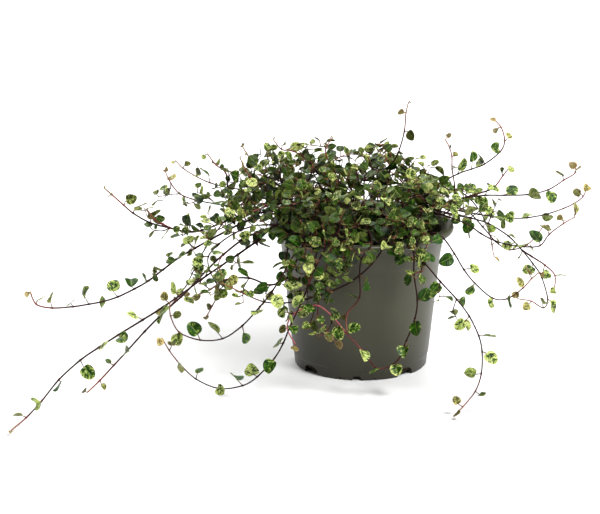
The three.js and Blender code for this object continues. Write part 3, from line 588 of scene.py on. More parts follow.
class Leaf:
    """One leaf: where its stalk leaves the stem, and its blade's place, turn and length."""

    def __init__(self, stem, i, flip, random, scale, sky=LIGHT):
        self.root = stem.joints[i]
        along = stem.direction(i)
        outward = unit(np.array([self.root[0], self.root[1] - 1, 0]))
        light = unit(sky + outward * OUTWARD_SHARE)
        level = cross(along, UP)
        sideways = unit(level) if size(level) > LEVEL_LEAST else unit(cross(along, outward))
        lift = across(light, along)
        turn = (random.draw() - 0.5) * LEAF_TURN
        away = sideways * (flip * math.cos(turn)) + lift * (math.sin(turn) + LEAF_LIFT)
        self.leaving = unit(unit(away) + along * ALONG_SHARE)
        self.length = random.between(*LEAF_LENGTH) * scale
        self.base = self.root + self.leaving * (random.between(*STALK_LENGTH) * scale)
        axis = unit(self.leaving + random.wobble(LEAF_WOBBLE) + UP * -LEAF_DROOP)
        if axis @ self.leaving < BEND_MOST:
            axis = unit(axis + self.leaving * BEND_BACK)
        self.axis = axis
        self.normal = across(light + random.wobble(FACING_WOBBLE), axis)
        self.side = cross(self.normal, axis)

    def points(self, uv):
        """Where on the blade the points (u along its length, v across) are."""
        u, v = uv[:, 0], uv[:, 1]
        lift = self.length * (LEAF_FOLD * np.abs(v) - LEAF_SAG * u * u)
        return (self.base + np.outer(u * self.length, self.axis)
                + np.outer(v * self.length * LEAF_WIDTH, self.side) + np.outer(lift, self.normal))

    def middle(self):
        return self.points(BLADE_SAMPLES[:1])[0]

    def fits(self, owner, clearance):
        samples = np.vstack([self.base, self.points(BLADE_SAMPLES)])
        points = np.vstack([mix(self.root, self.base, STALK_TESTED), samples])
        if not in_open_air(points, LEAF_AIR):
            return None
        centre, radius = samples[1], np.array(self.length * 0.5)
        near = near_rows(rod_middle.all(), centre)
        own = rod_owner.all()[near] == owner
        gaps = gaps_to_rods(points, rod_from.all()[near], rod_to.all()[near])
        if gaps[:, ~own].min(initial=math.inf) <= clearance:
            return None
        if gaps[2:, own].min(initial=math.inf) <= OWN_CLEARANCE:
            return None
        beads = bead_point.all()[(bead_owner.all() != owner) & near_rows(bead_point.all(), centre)]
        if gaps_to_blades(beads, centre, self.normal, radius).min(initial=math.inf) <= clearance:
            return None
        near = near_rows(blade_centre.all(), centre)
        others = blade_centre.all()[near], blade_normal.all()[near], blade_radius.all()[near]
        if gaps_to_blades(points, *others).min(initial=math.inf) <= clearance:
            return None
        seen = blade_samples.all()[near]
        if gaps_to_blades(seen, centre, self.normal, radius).min(initial=math.inf) <= clearance:
            return None
        return samples

    def place(self, owner, samples):
        blade_centre.add(samples[1])
        blade_normal.add(self.normal)
        blade_radius.add(self.length * 0.5)
        blade_samples.add(samples)
        place_rod(self.root, self.base, owner)


free_places = np.array(SEEN_LEAVES, float)


def in_picture(point):
    """Where the picture shows a point, across and down."""
    tilt = math.radians(CAMERA_TILT)
    x, y, z = point - CAMERA_PLACE
    depth = y * math.cos(tilt) - z * math.sin(tilt)
    up = y * math.sin(tilt) + z * math.cos(tilt)
    return PICTURE_MIDDLE[0] + CAMERA_FOCUS * x / depth, PICTURE_MIDDLE[1] - CAMERA_FOCUS * up / depth


def nearest_place(point):
    """The nearest place for a leaf that no leaf has taken yet, by number, and how far away it is."""
    misses = np.hypot(*(free_places - in_picture(point)).T)
    return int(np.argmin(misses)), misses.min()


def off_centre(point):
    """0 at the dome's centre and 1 on its surface."""
    return size((point - DOME_CENTRE) / DOME_REACH)


def frame_leaves(stem, owner, seed, shown):
    """The leaves that the frame has, from the tip down. A leaf is tried a few times until it fits, or many
    times for the try that comes nearest to its place in the picture."""
    global free_places
    random = Stream(seed)
    last = len(stem.joints) - 1
    reach = reach_along(stem.joints)
    flip = 1 if random.draw() < 0.5 else -1
    for i in range(last, stem.first - 1, -1):
        flip = -flip
        seen = shown and nearest_place(stem.joints[i])[1] < SEEN_REACH
        bare = shown and off_centre(stem.joints[i]) > MOUND_EDGE
        if not seen and (bare or (last - i) * GOLDEN_SHARE % 1 > LEAFY_SHARE):
            continue
        scale = 1 - YOUNG_SHRINK * youth_at(reach[last] - reach[i])
        best, best_miss, best_samples = None, math.inf, None
        for attempt in range(SEEN_TRIES if seen else LEAF_TRIES):
            leaf = Leaf(stem, i, -flip if attempt % 2 else flip, random, scale)
            miss = nearest_place(leaf.middle())[1]
            if miss >= best_miss:
                continue
            samples = leaf.fits(owner, BLADE_CLEARANCE)
            if samples is None:
                continue
            best, best_miss, best_samples = leaf, miss, samples
            if not seen:
                break
        if best is None:
            continue
        best.place(owner, best_samples)
        stem.leaves[i] = best
        if seen:
            free_places = np.delete(free_places, nearest_place(best.middle())[0], 0)


def is_shown(name):
    return not name.startswith("vine_back")


def grow():
    """The frame's whole plant as (name, stems), all stems settled before the first leaf."""
    plants = []
    for i, (name, bare, gap, route, twigs) in enumerate(VINES):
        owner = len(plants)
        main = settle(owner, SEEDS["vine"] + i, bare, gap,
                      lambda random, reach: vine_route(route, random, reach))
        stems = [main]
        for k, (share, twig) in enumerate(twigs):
            root = main.near(share)
            stems.append(settle(owner, SEEDS["twig"] + 7 * i + k, TWIG_BARE, gap,
                                lambda random, reach: [root] + random.bent(twig, reach)))
        plants.append((name, stems))
    for i in range(SHOOTS):
        owner = len(plants)
        main = settle(owner, SEEDS["shoot"] + i, SHOOT_BARE, SHOOT_GAP,
                      lambda random, reach: shoot_route(i, random, reach))
        stems = [main]
        for k, (share, turn) in enumerate(SIDE_SHOOTS):
            root = main.near(share)
            stems.append(settle(owner, SEEDS["side"] + 7 * i + k, TWIG_BARE, SHOOT_GAP,
                                lambda random, reach: side_route(root, turn, random, reach)))
        plants.append((f"shoot_{i + 1:02d}", stems))
    for owner, (name, stems) in enumerate(plants):
        for k, stem in enumerate(stems):
            frame_leaves(stem, owner, SEEDS["leaves"] + 13 * owner + k, is_shown(name))
    return plants


plants = grow()

# More leaves: joints that the frame leaves bare, and leafy sprays that fill the crown and the clump at the left

MORE_CLEARANCE = 0.7
MORE_TRIES = 12
MORE_SCALE = (0.6, 1.02)
CROWN_FOOT = 8
CROWN_LEAST = 0.6
CROWN_SKIPPED = 0.05
FAR_SKIPPED = 0.5
SKIPPED_OVER = 0.8
SPRAY_REACH = (10, 21)
SPRAY_GAP = 7.5
SPRAY_FALL = 2.5
SPRAY_SHRINK = 0.12
SPRAY_UP = (0.2, 0.15)
SPRAY_WOBBLE = (1.1, 0.4)
SPRAY_LOWEST = 66
SPRAY_BARE = 4
SPRAY_CLEARANCE = 1.0
SPRAY_TRIES = 5
CROWN_FULL = 0.85
CROWN_END = 1.7
CROWN_TOP = 140
SPRAY_EDGE = 1.1
CLUMP_CENTRE = np.array((-118, -35, 106))
CLUMP_REACH = np.array((72, 60, 44))
CLUMP_FULL = 0.95
CROWN_LIGHT = np.array([-0.05, -0.12, 0.9])
BOX_MARGIN = 1
box_low, box_high = np.array(cad_box) / MM


def crown_share(point):
    """1 inside the crown, falling to 0 outside it."""
    return min(1.0, max(0.0, (CROWN_END - off_centre(point)) / (CROWN_END - CROWN_FULL)))


def clump_share(point):
    """The same for the smaller clump on the vines at the left."""
    off = size((point - CLUMP_CENTRE) / CLUMP_REACH)
    return CLUMP_FULL * min(1.0, max(0.0, 2 * (1 - off)))


def add_leaf(stem, i, flip, owner, random, scale):
    """One more leaf at a joint, where it finds room inside the frame's box."""
    for attempt in range(MORE_TRIES):
        leaf = Leaf(stem, i, -flip if attempt % 2 else flip, random, scale, CROWN_LIGHT)
        samples = leaf.fits(owner, MORE_CLEARANCE)
        if samples is None:
            continue
        if np.all(samples > box_low + BOX_MARGIN) and np.all(samples < box_high - BOX_MARGIN):
            leaf.place(owner, samples)
            stem.leaves[i] = leaf
            return


def fill_joints(stem, owner, seed, shown, shrink=YOUNG_SHRINK):
    """Leaves for the joints that have none, but for fewer of them out on the stems that the picture shows."""
    random = Stream(seed)
    last = len(stem.joints) - 1
    reach = reach_along(stem.joints)
    flip = 1 if random.draw() < 0.5 else -1
    for i in range(last, 0, -1):
        flip = -flip
        joint = stem.joints[i]
        bare = i < stem.first and (crown_share(joint) < CROWN_LEAST or joint[2] < SOIL_TOP + CROWN_FOOT)
        far = shown * min(1, max(0, (off_centre(joint) - MOUND_EDGE) / SKIPPED_OVER))
        skipped = random.draw() < mix(CROWN_SKIPPED, FAR_SKIPPED, far) and i < last - 1
        if i in stem.leaves or bare or skipped:
            continue
        scale = random.between(*MORE_SCALE) * (1 - shrink * youth_at(reach[last] - reach[i]))
        add_leaf(stem, i, flip, owner, random, scale)


def spray(stem, i, owner, seed):
    """A short leafy twig that leaves a joint and heads out from the mound, a little upwards."""
    random = Stream(seed)
    root = stem.joints[i]
    outward = unit((root - DOME_CENTRE) / DOME_REACH + UP * SPRAY_UP[0])
    for _ in range(SPRAY_TRIES):
        reach = random.between(*SPRAY_REACH)
        way = unit(outward + random.wobble(SPRAY_WOBBLE[0]))
        end = root + unit(way + UP * SPRAY_UP[1] + random.wobble(SPRAY_WOBBLE[1])) * reach
        if end[2] > CROWN_TOP and off_centre(end) > SPRAY_EDGE:
            continue
        twig = Stem(spline([root, root + way * reach * 0.5, end]), SPRAY_BARE, SPRAY_GAP, random)
        if room_around(twig.joints, owner) > SPRAY_CLEARANCE:
            for a, b in zip(twig.joints, twig.joints[1:]):
                place_rod(a, b, owner)
            return twig
    return None


for owner, (name, stems) in enumerate(plants):
    for k, stem in enumerate(stems):
        fill_joints(stem, owner, SEEDS["filled"] + 13 * owner + k, is_shown(name))
for owner, (_, stems) in enumerate(plants):
    sprays = []
    for k, stem in enumerate(stems):
        for i in range(1, len(stem.joints)):
            joint = stem.joints[i]
            share = max(crown_share(joint) ** SPRAY_FALL, clump_share(joint))
            place = 97 * owner + 31 * k + i
            if joint[2] > SPRAY_LOWEST and Stream(SEEDS["share"] + place).draw() < share:
                sprays.append(spray(stem, i, owner, SEEDS["spray"] + place))
    sprays = [twig for twig in sprays if twig]
    for k, twig in enumerate(sprays):
        fill_joints(twig, owner, SEEDS["spray_leaves"] + 61 * owner + k, False, SPRAY_SHRINK)
    stems += sprays

# Pieces as meshes

LEAF_SEGMENTS = 18
LEAF_RINGS = (0.36, 0.68, 0.89, 1.0)
LEAF_HALF = 0.24
LEAF_HEART = (0.1, 0.3)
LEAF_ROUND = (0.88, 1.04)
FOLD_SPREAD = (-0.3, 0.8)
SAG_SPREAD = 0.14
LEAF_WAVE = (0.01, 0.05)
PATTERNS = 97
STALK_SIDES = 5
STALK_STEPS = 5
STALK_RADIUS = 0.4
STEM_SIDES = 7
STEM_FINE = 24
STEM_END = (0.9, 1.2)
STEM_STEPS = ((0, 1.4), (0.09, 1.02), (0.25, 0.94), (0.5, 0.92), (0.75, 0.94), (0.91, 1.0))
TWIG_LENGTH = 30
TWIG_GIRTH = 0.6
VINE_GIRTH = 0.95
THICK_GIRTH = 1.2
THICK_VINES = ("vine_left", "vine_far_left")
RED_LENGTH = 50
SPRIG_SHRINK = 0.8
BRIGHT_VINE = "vine_front_long"
BRIGHT_LENGTH = 190
SHORT_RED = 6
RARE_RED = 40
RARE = 7
SMOOTH_TURN = math.radians(75)

STEM_SLOT, UPPER_SLOT, UNDER_SLOT = 0, 1, 2


class Skin:
    """Points, faces, material slots and per-point values of a piece as it grows."""

    def __init__(self):
        self.points, self.faces, self.slots, self.place, self.kind = [], [], [], [], []
        self.count = 0

    def add(self, points, faces, slots, place, kind):
        self.points.append(points)
        self.faces += [tuple(index + self.count for index in face) for face in faces]
        self.slots += slots
        self.place.append(np.broadcast_to(place, points.shape))
        self.kind.append(np.broadcast_to(kind, points.shape))
        self.count += len(points)

    def mesh(self, name):
        mesh = bpy.data.meshes.new(name)
        mesh.from_pydata(np.vstack(self.points) * MM, [], self.faces)
        mesh.polygons.foreach_set("material_index", self.slots)
        for label, rows in (("place", self.place), ("kind", self.kind)):
            values = mesh.attributes.new(label, "FLOAT_VECTOR", "POINT")
            values.data.foreach_set("vector", np.vstack(rows).astype(np.float32).ravel())
        mesh.shade_smooth()
        mesh.set_sharp_from_angle(angle=SMOOTH_TURN)
        mesh.update()
        return mesh


def ring_faces(rings, sides):
    """The faces of a closed body whose points are a first end, rings of so many sides, and a last end."""
    faces = []
    last = 1 + (rings - 1) * sides
    for k in range(sides):
        after = (k + 1) % sides
        faces.append((0, 1 + after, 1 + k))
        for a in range(1, last, sides):
            faces.append((a + k, a + after, a + sides + after, a + sides + k))
        faces.append((last + k, last + after, last + sides))
    return faces


def tube(skin, line, radii, sides, places, kind, pointed):
    """A closed tube along a line. places holds one row for each ring."""
    sideways = np.array([0.8, 0.6, 0.0])
    points, rows = [line[0]], [places[0]]
    turns = np.arange(sides) * 2 * math.pi / sides
    last = len(line) - 1
    for i, point in enumerate(line):
        along = unit(line[min(i + 1, last)] - line[max(i - 1, 0)])
        sideways = across(sideways, along)
        other = cross(along, sideways)
        circle = np.outer(np.cos(turns), sideways) + np.outer(np.sin(turns), other)
        points.append(point + circle * radii[i])
        rows += [places[i]] * sides
    points.append(line[-1] + unit(line[-1] - line[-2]) * pointed)
    rows.append(places[-1])
    faces = ring_faces(len(line), sides)
    skin.add(np.vstack(points), faces, [STEM_SLOT] * len(faces), np.array(rows), kind)


def stem_skin(skin, stem, girth, red, bright, seed):
    """The stem as a smooth tube through its joints, a little swollen at each of them."""
    joints = stem.joints
    smooth = spline(joints, STEM_FINE)
    line, swell = [], []
    for i in range(len(joints) - 1):
        for t, grow_by in STEM_STEPS:
            line.append(smooth[i * STEM_FINE + round(t * STEM_FINE)])
            swell.append(grow_by)
    end_swell, pointed = STEM_END
    line.append(smooth[-1])
    swell.append(end_swell)
    reach = reach_along(line)
    radii = [(STEM_RADIUS + (TIP_RADIUS - STEM_RADIUS) * r / reach[-1]) * s for r, s in zip(reach, swell)]
    ages = [(min(1, (reach[-1] - r) / red), r, seed) for r in reach]
    tube(skin, line, [r * girth for r in radii], STEM_SIDES, ages, (bright, 0, seed), pointed)


def leaf_disc():
    """The template: for each point its share of the radius and its turn, 0 at the stalk, and the faces."""
    turns = np.arange(LEAF_SEGMENTS) * 2 * math.pi / LEAF_SEGMENTS
    rho = np.concatenate([[0.0]] + [np.full(LEAF_SEGMENTS, ring) for ring in LEAF_RINGS])
    theta = np.concatenate([[0.0]] + [turns for _ in LEAF_RINGS])
    faces = [(0, 1 + k, 1 + (k + 1) % LEAF_SEGMENTS) for k in range(LEAF_SEGMENTS)]
    for ring in range(len(LEAF_RINGS) - 1):
        inner, outer = 1 + ring * LEAF_SEGMENTS, 1 + (ring + 1) * LEAF_SEGMENTS
        for k in range(LEAF_SEGMENTS):
            after = (k + 1) % LEAF_SEGMENTS
            faces.append((inner + k, outer + k, outer + after, inner + after))
    return rho, theta, faces


disc_rho, disc_theta, disc_faces = leaf_disc()
rim_start = 1 + (len(LEAF_RINGS) - 1) * LEAF_SEGMENTS


def leaf_skin(skin, leaf, youth, cream_and_shade, seed):
    """A folded, waved blade with a heart-shaped foot, and its curved stalk."""
    random = Stream(seed)
    heart = random.between(*LEAF_HEART)
    round_by = random.between(*LEAF_ROUND)
    fold = LEAF_FOLD + random.between(*FOLD_SPREAD) * random.draw()
    sag = LEAF_SAG + random.between(-SAG_SPREAD, SAG_SPREAD)
    phase = random.between(0, 6.28)
    wave = random.between(*LEAF_WAVE)
    pattern = seed % PATTERNS / PATTERNS
    near = np.where(disc_theta > math.pi, disc_theta - 2 * math.pi, disc_theta)
    rim_u = 0.5 - 0.5 * np.cos(near) * (1 - heart * np.exp(-(near / 0.5) ** 2))
    rim_v = 0.5 * round_by * np.sin(near) * (1 + 0.1 * np.cos(near))
    u = 0.5 + (rim_u - 0.5) * disc_rho - heart * 0.5 * disc_rho
    v = rim_v * disc_rho
    lift = fold * (np.sqrt(v * v + 0.0012) - 0.035) - sag * u * u
    lift += wave * disc_rho ** 2 * np.sin(3 * near + phase)
    length = leaf.length
    middle = (leaf.base + np.outer(u * length, leaf.axis) + np.outer(v * length * LEAF_WIDTH, leaf.side)
              + np.outer(lift * length, leaf.normal))
    half = LEAF_HALF * (1 - disc_rho ** 4)
    upper = middle + np.outer(half, leaf.normal)
    lower = middle[:rim_start] - np.outer(half[:rim_start], leaf.normal)
    count = len(upper)
    under = [tuple(k + count if k < rim_start else k for k in reversed(face)) for face in disc_faces]
    place = np.stack([u, v, disc_rho], 1)
    skin.add(np.vstack([upper, lower]), disc_faces + under,
             [UPPER_SLOT] * len(disc_faces) + [UNDER_SLOT] * len(under),
             np.vstack([place, place[:rim_start]]), (cream_and_shade, youth, pattern))
    start = leaf.root
    reach = size(leaf.base - leaf.root)
    knee = start + leaf.leaving * reach * 0.75
    end = leaf.base + leaf.axis * 0.9
    steps = np.linspace(0, 1, STALK_STEPS)
    line = [start * (1 - t) ** 2 + knee * 2 * t * (1 - t) + end * t * t for t in steps]
    radii = [STALK_RADIUS * (1.15 - 0.3 * t) for t in steps]
    age = 0.5 - 0.42 * youth + 0.2 * random.draw()
    tube(skin, line, radii, STALK_SIDES, [(age, t * 9, 0.5) for t in steps], (0, 1, pattern), 0.2)


# Materials as node graphs


class Graph:
    """A material's node tree, with short words for its nodes."""

    def __init__(self, name):
        self.material = bpy.data.materials.new(name)
        self.material.use_nodes = True
        self.tree = self.material.node_tree
        self.shader = self.tree.nodes["Principled BSDF"]

    def node(self, kind, settings=None, **inputs):
        made = self.tree.nodes.new("ShaderNode" + kind)
        for key, value in (settings or {}).items():
            setattr(made, key, value)
        for key, value in inputs.items():
            socket = int(key[1:]) if key[0] == "i" and key[1:].isdigit() else key
            self.set(made.inputs[socket], value)
        return made

    def set(self, socket, value):
        if isinstance(value, bpy.types.NodeSocket):
            self.tree.links.new(value, socket)
        elif isinstance(value, bpy.types.Node):
            self.tree.links.new(value.outputs[0], socket)
        else:
            socket.default_value = value

    def math(self, operation, a, b=0.0):
        return self.node("Math", {"operation": operation}, i0=a, i1=b).outputs[0]

    def plus(self, a, b):
        return self.math("ADD", a, b)

    def less(self, a, b):
        return self.math("SUBTRACT", a, b)

    def times(self, a, b):
        return self.math("MULTIPLY", a, b)

    def noise(self, vector, scale, detail=2.0, roughness=0.5):
        made = self.node("TexNoise", Vector=vector, Scale=scale, Detail=detail, Roughness=roughness)
        return made.outputs["Fac"]

    def ramp(self, value, low, high):
        """0 below low and 1 above high, or the other way round, with a soft step between them."""
        made = self.node("MapRange", {"interpolation_type": "SMOOTHSTEP"}, Value=value)
        self.set(made.inputs["From Min"], low)
        self.set(made.inputs["From Max"], high)
        return made.outputs["Result"]

    def mixed(self, share, a, b):
        made = self.node("Mix", {"data_type": "RGBA"}, i0=share)
        self.set(made.inputs[6], a)
        self.set(made.inputs[7], b)
        return made.outputs[2]

    def between(self, share, a, b):
        return self.plus(a, self.times(share, b - a))

    def place(self):
        return self.node("TexCoord").outputs["Object"]

    def split(self, name):
        attribute = self.node("Attribute", {"attribute_name": name})
        parts = self.node("SeparateXYZ", Vector=attribute.outputs["Vector"])
        return parts.outputs

    def vector(self, x, y, z):
        return self.node("CombineXYZ", X=x, Y=y, Z=z).outputs[0]

    def bump(self, height, strength, distance):
        made = self.node("Bump", Height=height, Strength=strength, Distance=distance)
        self.set(self.shader.inputs["Normal"], made.outputs[0])

    def finish(self, color, roughness, specular):
        self.set(self.shader.inputs["Base Color"], color)
        self.set(self.shader.inputs["Roughness"], roughness)
        self.set(self.shader.inputs["Specular IOR Level"], specular)
        return self.material


def rgb(r, g, b):
    return (r, g, b, 1.0)


DARK_GREEN = rgb(0.003, 0.014, 0.001)
MID_GREEN = rgb(0.027, 0.088, 0.002)
CREAM = rgb(0.59, 0.60, 0.23)
PALE_GREEN = rgb(0.22, 0.29, 0.055)
BRONZE = rgb(0.13, 0.080, 0.028)
PINK = rgb(0.34, 0.19, 0.085)
# The underside green is the leaf's own colour, darkened as painted shade
SHADED_UNDER_GREEN = rgb(0.034, 0.060, 0.013)
UNDER_CREAM = rgb(0.30, 0.32, 0.12)


MARBLE_STREAKS = (9.0, 3.4)
MARBLE_PATCHES = 5.0
MARBLE_SHARES = (0.6, 0.4)
MARBLE_EDGE = (0.47, 0.56)
CREAM_WEIGHT = 0.42
RIM_WEIGHT = 0.05
BLUSH = 0.75
RIB_WIDTH = (0.008, 0.03)
UPPER_ROUGHNESS = (0.34, 0.46)
UNDER_ROUGHNESS = (0.5, 0.66)
LEAF_SPECULAR = 0.13


def leaf_material(name, under):
    g = Graph(name)
    u, v, rho = g.split("place")
    cream_and_shade, youth, seed = g.split("kind")
    width = g.math("ABSOLUTE", v)
    seed_far = g.times(seed, 61.0)
    vein = g.less(u, g.times(width, 0.6))
    streaks = g.noise(g.vector(g.times(vein, MARBLE_STREAKS[0]), g.times(v, MARBLE_STREAKS[1]), seed_far),
                      1.0, 3.0, 0.6)
    patches = g.noise(g.vector(g.times(u, MARBLE_PATCHES), g.times(v, MARBLE_PATCHES), seed_far), 1.0, 2.0)
    marble = g.plus(g.times(streaks, MARBLE_SHARES[0]), g.times(patches, MARBLE_SHARES[1]))
    # The kind's first value thins the cream marbling here and darkens the green below; on leaves deep in the
    # mound it carries painted shade
    marble = g.plus(marble, g.times(g.less(cream_and_shade, 0.5), CREAM_WEIGHT))
    marble = g.plus(marble, g.times(g.math("POWER", rho, 3.0), RIM_WEIGHT))
    mask = g.ramp(marble, *MARBLE_EDGE)
    tone = g.ramp(patches, 0.3, 0.7)
    if under:
        # The underside's green carries painted shade
        base = g.mixed(g.times(mask, 0.75), g.mixed(tone, SHADED_UNDER_GREEN, PALE_GREEN), UNDER_CREAM)
    else:
        # Darker green where the kind's first value is low: random tone, and painted shade on leaves deep in the
        # mound
        green = g.mixed(g.times(tone, g.ramp(cream_and_shade, -0.25, 0.35)), DARK_GREEN, MID_GREEN)
        base = g.mixed(mask, green, g.mixed(tone, CREAM, PALE_GREEN))
    blush = g.times(youth, BLUSH)
    base = g.mixed(blush, base, g.mixed(mask, BRONZE, PINK))
    edge = g.times(g.ramp(rho, 0.82, 1.0), g.times(youth, 0.9))
    base = g.mixed(edge, base, PINK)
    rib = g.less(1.0, g.ramp(width, *RIB_WIDTH))
    base = g.mixed(g.times(rib, 0.45), base, PALE_GREEN)
    ripple = g.math("SINE", g.times(vein, 42.0))
    height = g.plus(g.times(ripple, 0.35), g.times(rib, 1.0 if under else -1.0))
    height = g.plus(height, streaks)
    g.bump(height, 0.5, 0.0004)
    roughness = g.between(streaks, *(UNDER_ROUGHNESS if under else UPPER_ROUGHNESS))
    return g.finish(base, roughness, LEAF_SPECULAR)


STEM_OLD = rgb(0.015, 0.004, 0.003)
STEM_MID = rgb(0.055, 0.011, 0.009)
STEM_RED = rgb(0.150, 0.034, 0.027)
STEM_TIP = rgb(0.20, 0.100, 0.050)
ARCH_RED = rgb(0.34, 0.082, 0.088)
STEM_SPECULAR = 0.12


def stem_material():
    g = Graph("wiry_stem")
    age, along, _ = g.split("place")
    bright, stalk, seed = g.split("kind")
    geometry = g.place()
    bark = g.noise(geometry, 900.0, 4.0, 0.65)
    bands = g.noise(g.vector(g.times(along, 0.9), seed, 0.0), 1.0, 3.0)
    worn = g.plus(age, g.times(g.less(bands, 0.5), 0.35))
    color = g.mixed(g.ramp(worn, 0.0, 0.25), STEM_TIP, STEM_RED)
    color = g.mixed(bright, color, ARCH_RED)
    color = g.mixed(g.ramp(worn, 0.2, 0.6), color, STEM_MID)
    color = g.mixed(g.ramp(worn, 0.55, 0.95), color, STEM_OLD)
    color = g.mixed(g.times(stalk, 0.12), color, PALE_GREEN)
    color = g.mixed(g.times(g.ramp(bark, 0.55, 0.8), 0.25), color, STEM_TIP)
    g.bump(bark, 0.35, 0.0003)
    return g.finish(color, g.between(bark, 0.5, 0.7), STEM_SPECULAR)


POT_DARK = rgb(0.031, 0.030, 0.014)
POT_LIGHT = rgb(0.040, 0.039, 0.018)
POT_FLOW = rgb(0.045, 0.044, 0.023)
# Painted shade for the lower part of the pot
POT_FOOT_SHADE = rgb(0.017, 0.016, 0.008)
POT_DUST = rgb(0.12, 0.105, 0.08)
POT_SPECULAR = 0.42


def pot_material():
    g = Graph("pot_plastic")
    geometry = g.place()
    x, y, z = g.node("SeparateXYZ", Vector=geometry).outputs
    cloud = g.noise(geometry, 22.0, 3.0)
    grain = g.noise(geometry, 1400.0, 3.0, 0.6)
    drawn = g.vector(g.times(x, 60.0), g.times(y, 60.0), g.times(z, 9.0))
    flow = g.noise(drawn, 1.0, 3.0)
    dust = g.times(g.ramp(g.noise(geometry, 130.0, 5.0, 0.7), 0.58, 0.75), g.ramp(z, 0.09, 0.0))
    color = g.mixed(cloud, POT_DARK, POT_LIGHT)
    color = g.mixed(g.times(g.ramp(flow, 0.45, 0.75), 0.3), color, POT_FLOW)
    # Painted shade: the pot is darker towards its foot
    color = g.mixed(g.ramp(z, 0.07, -0.02), color, POT_FOOT_SHADE)
    color = g.mixed(g.times(dust, 0.12), color, POT_DUST)
    g.bump(g.plus(grain, g.times(flow, 0.6)), 0.12, 0.0004)
    rough = g.plus(g.between(flow, 0.36, 0.48), g.times(dust, 0.2))
    return g.finish(color, rough, POT_SPECULAR)


SOIL_DARK = rgb(0.012, 0.008, 0.005)
SOIL_BROWN = rgb(0.055, 0.034, 0.020)
SOIL_FIBRE = rgb(0.13, 0.085, 0.045)
SOIL_DAMP = rgb(0.02, 0.014, 0.010)
SOIL_SPECULAR = 0.25


def soil_material():
    g = Graph("potting_soil")
    geometry = g.place()
    crumbs = g.noise(geometry, 260.0, 6.0, 0.7)
    fibres = g.noise(geometry, 900.0, 4.0, 0.6)
    lumps = g.noise(geometry, 60.0, 3.0)
    color = g.mixed(g.ramp(crumbs, 0.35, 0.65), SOIL_DARK, SOIL_BROWN)
    color = g.mixed(g.times(g.ramp(fibres, 0.6, 0.72), 0.5), color, SOIL_FIBRE)
    color = g.mixed(g.times(lumps, 0.3), color, SOIL_DAMP)
    g.bump(g.plus(crumbs, fibres), 0.8, 0.0015)
    return g.finish(color, g.between(crumbs, 0.8, 0.98), SOIL_SPECULAR)


def floor_material():
    g = Graph("studio_floor")
    tone = g.noise(g.place(), 1.5, 2.0)
    return g.finish(g.mixed(tone, rgb(0.57, 0.57, 0.57), rgb(0.60, 0.60, 0.60)), 0.85, 0.5)


# Pot: a turned shell with a rolled lip and the slots round its foot

POT_SEGMENTS = 160
POT_EASE = 0.9
EASE_MOST = 0.45
RING_HEIGHT = 93
RING_STEP = 0.3
SHARP_TURN = math.radians(40)


def outer_radius(z):
    return FOOT_RADIUS + POT_SLOPE * z


def eased(points, by):
    """Each inner corner of an open outline becomes a short curve."""
    points = [np.array(point, float) for point in points]
    line = [points[0]]
    for before, corner, after in zip(points, points[1:], points[2:]):
        into, out = before - corner, after - corner
        start = corner + into * min(EASE_MOST, by / np.hypot(*into))
        end = corner + out * min(EASE_MOST, by / np.hypot(*out))
        for t in (0, 0.33, 0.67, 1):
            line.append(start * (1 - t) ** 2 + corner * 2 * t * (1 - t) + end * t * t)
    line.append(points[-1])
    return line


def turned(outline, segments):
    """A closed body turned from an outline that starts and ends on the axis."""
    turns = [2 * math.pi * k / segments for k in range(segments)]
    points = [(0, 0, outline[0][1])]
    for r, z in outline[1:-1]:
        points += [(r * math.cos(turn), r * math.sin(turn), z) for turn in turns]
    points.append((0, 0, outline[-1][1]))
    return np.array(points, float), ring_faces(len(outline) - 2, segments)


def linked(name, data):
    made = bpy.data.objects.new(name, data)
    bpy.context.scene.collection.objects.link(made)
    return made


def solid(name, points, faces):
    mesh = bpy.data.meshes.new(name)
    mesh.from_pydata(np.array(points) * MM, [], faces)
    mesh.update()
    return linked(name, mesh)


def foot_slot(turn, width, height, inner):
    """A round-topped cutter along a spoke, from an inner radius out past the wall."""
    half = width / 2
    shoulder = height * SLOT_SHOULDER
    outline = [(-half, -SLOT_BELOW), (half, -SLOT_BELOW), (half, shoulder)]
    for t in np.linspace(SLOT_BEND, math.pi - SLOT_BEND, SLOT_STEPS):
        outline.append((half * math.cos(t), shoulder + (height - shoulder) * math.sin(t)))
    outline.append((-half, shoulder))
    turn = math.radians(turn)
    out = np.array([math.cos(turn), math.sin(turn), 0])
    side = np.array([-math.sin(turn), math.cos(turn), 0])
    ends = []
    for r in (inner, FOOT_RADIUS + SLOT_PAST):
        ends += [out * r + side * x + UP * z for x, z in outline]
    count = len(outline)
    faces = [tuple(range(count))[::-1], tuple(range(count, 2 * count))]
    for k in range(count):
        after = (k + 1) % count
        faces.append((k, after, count + after, count + k))
    return ends, faces


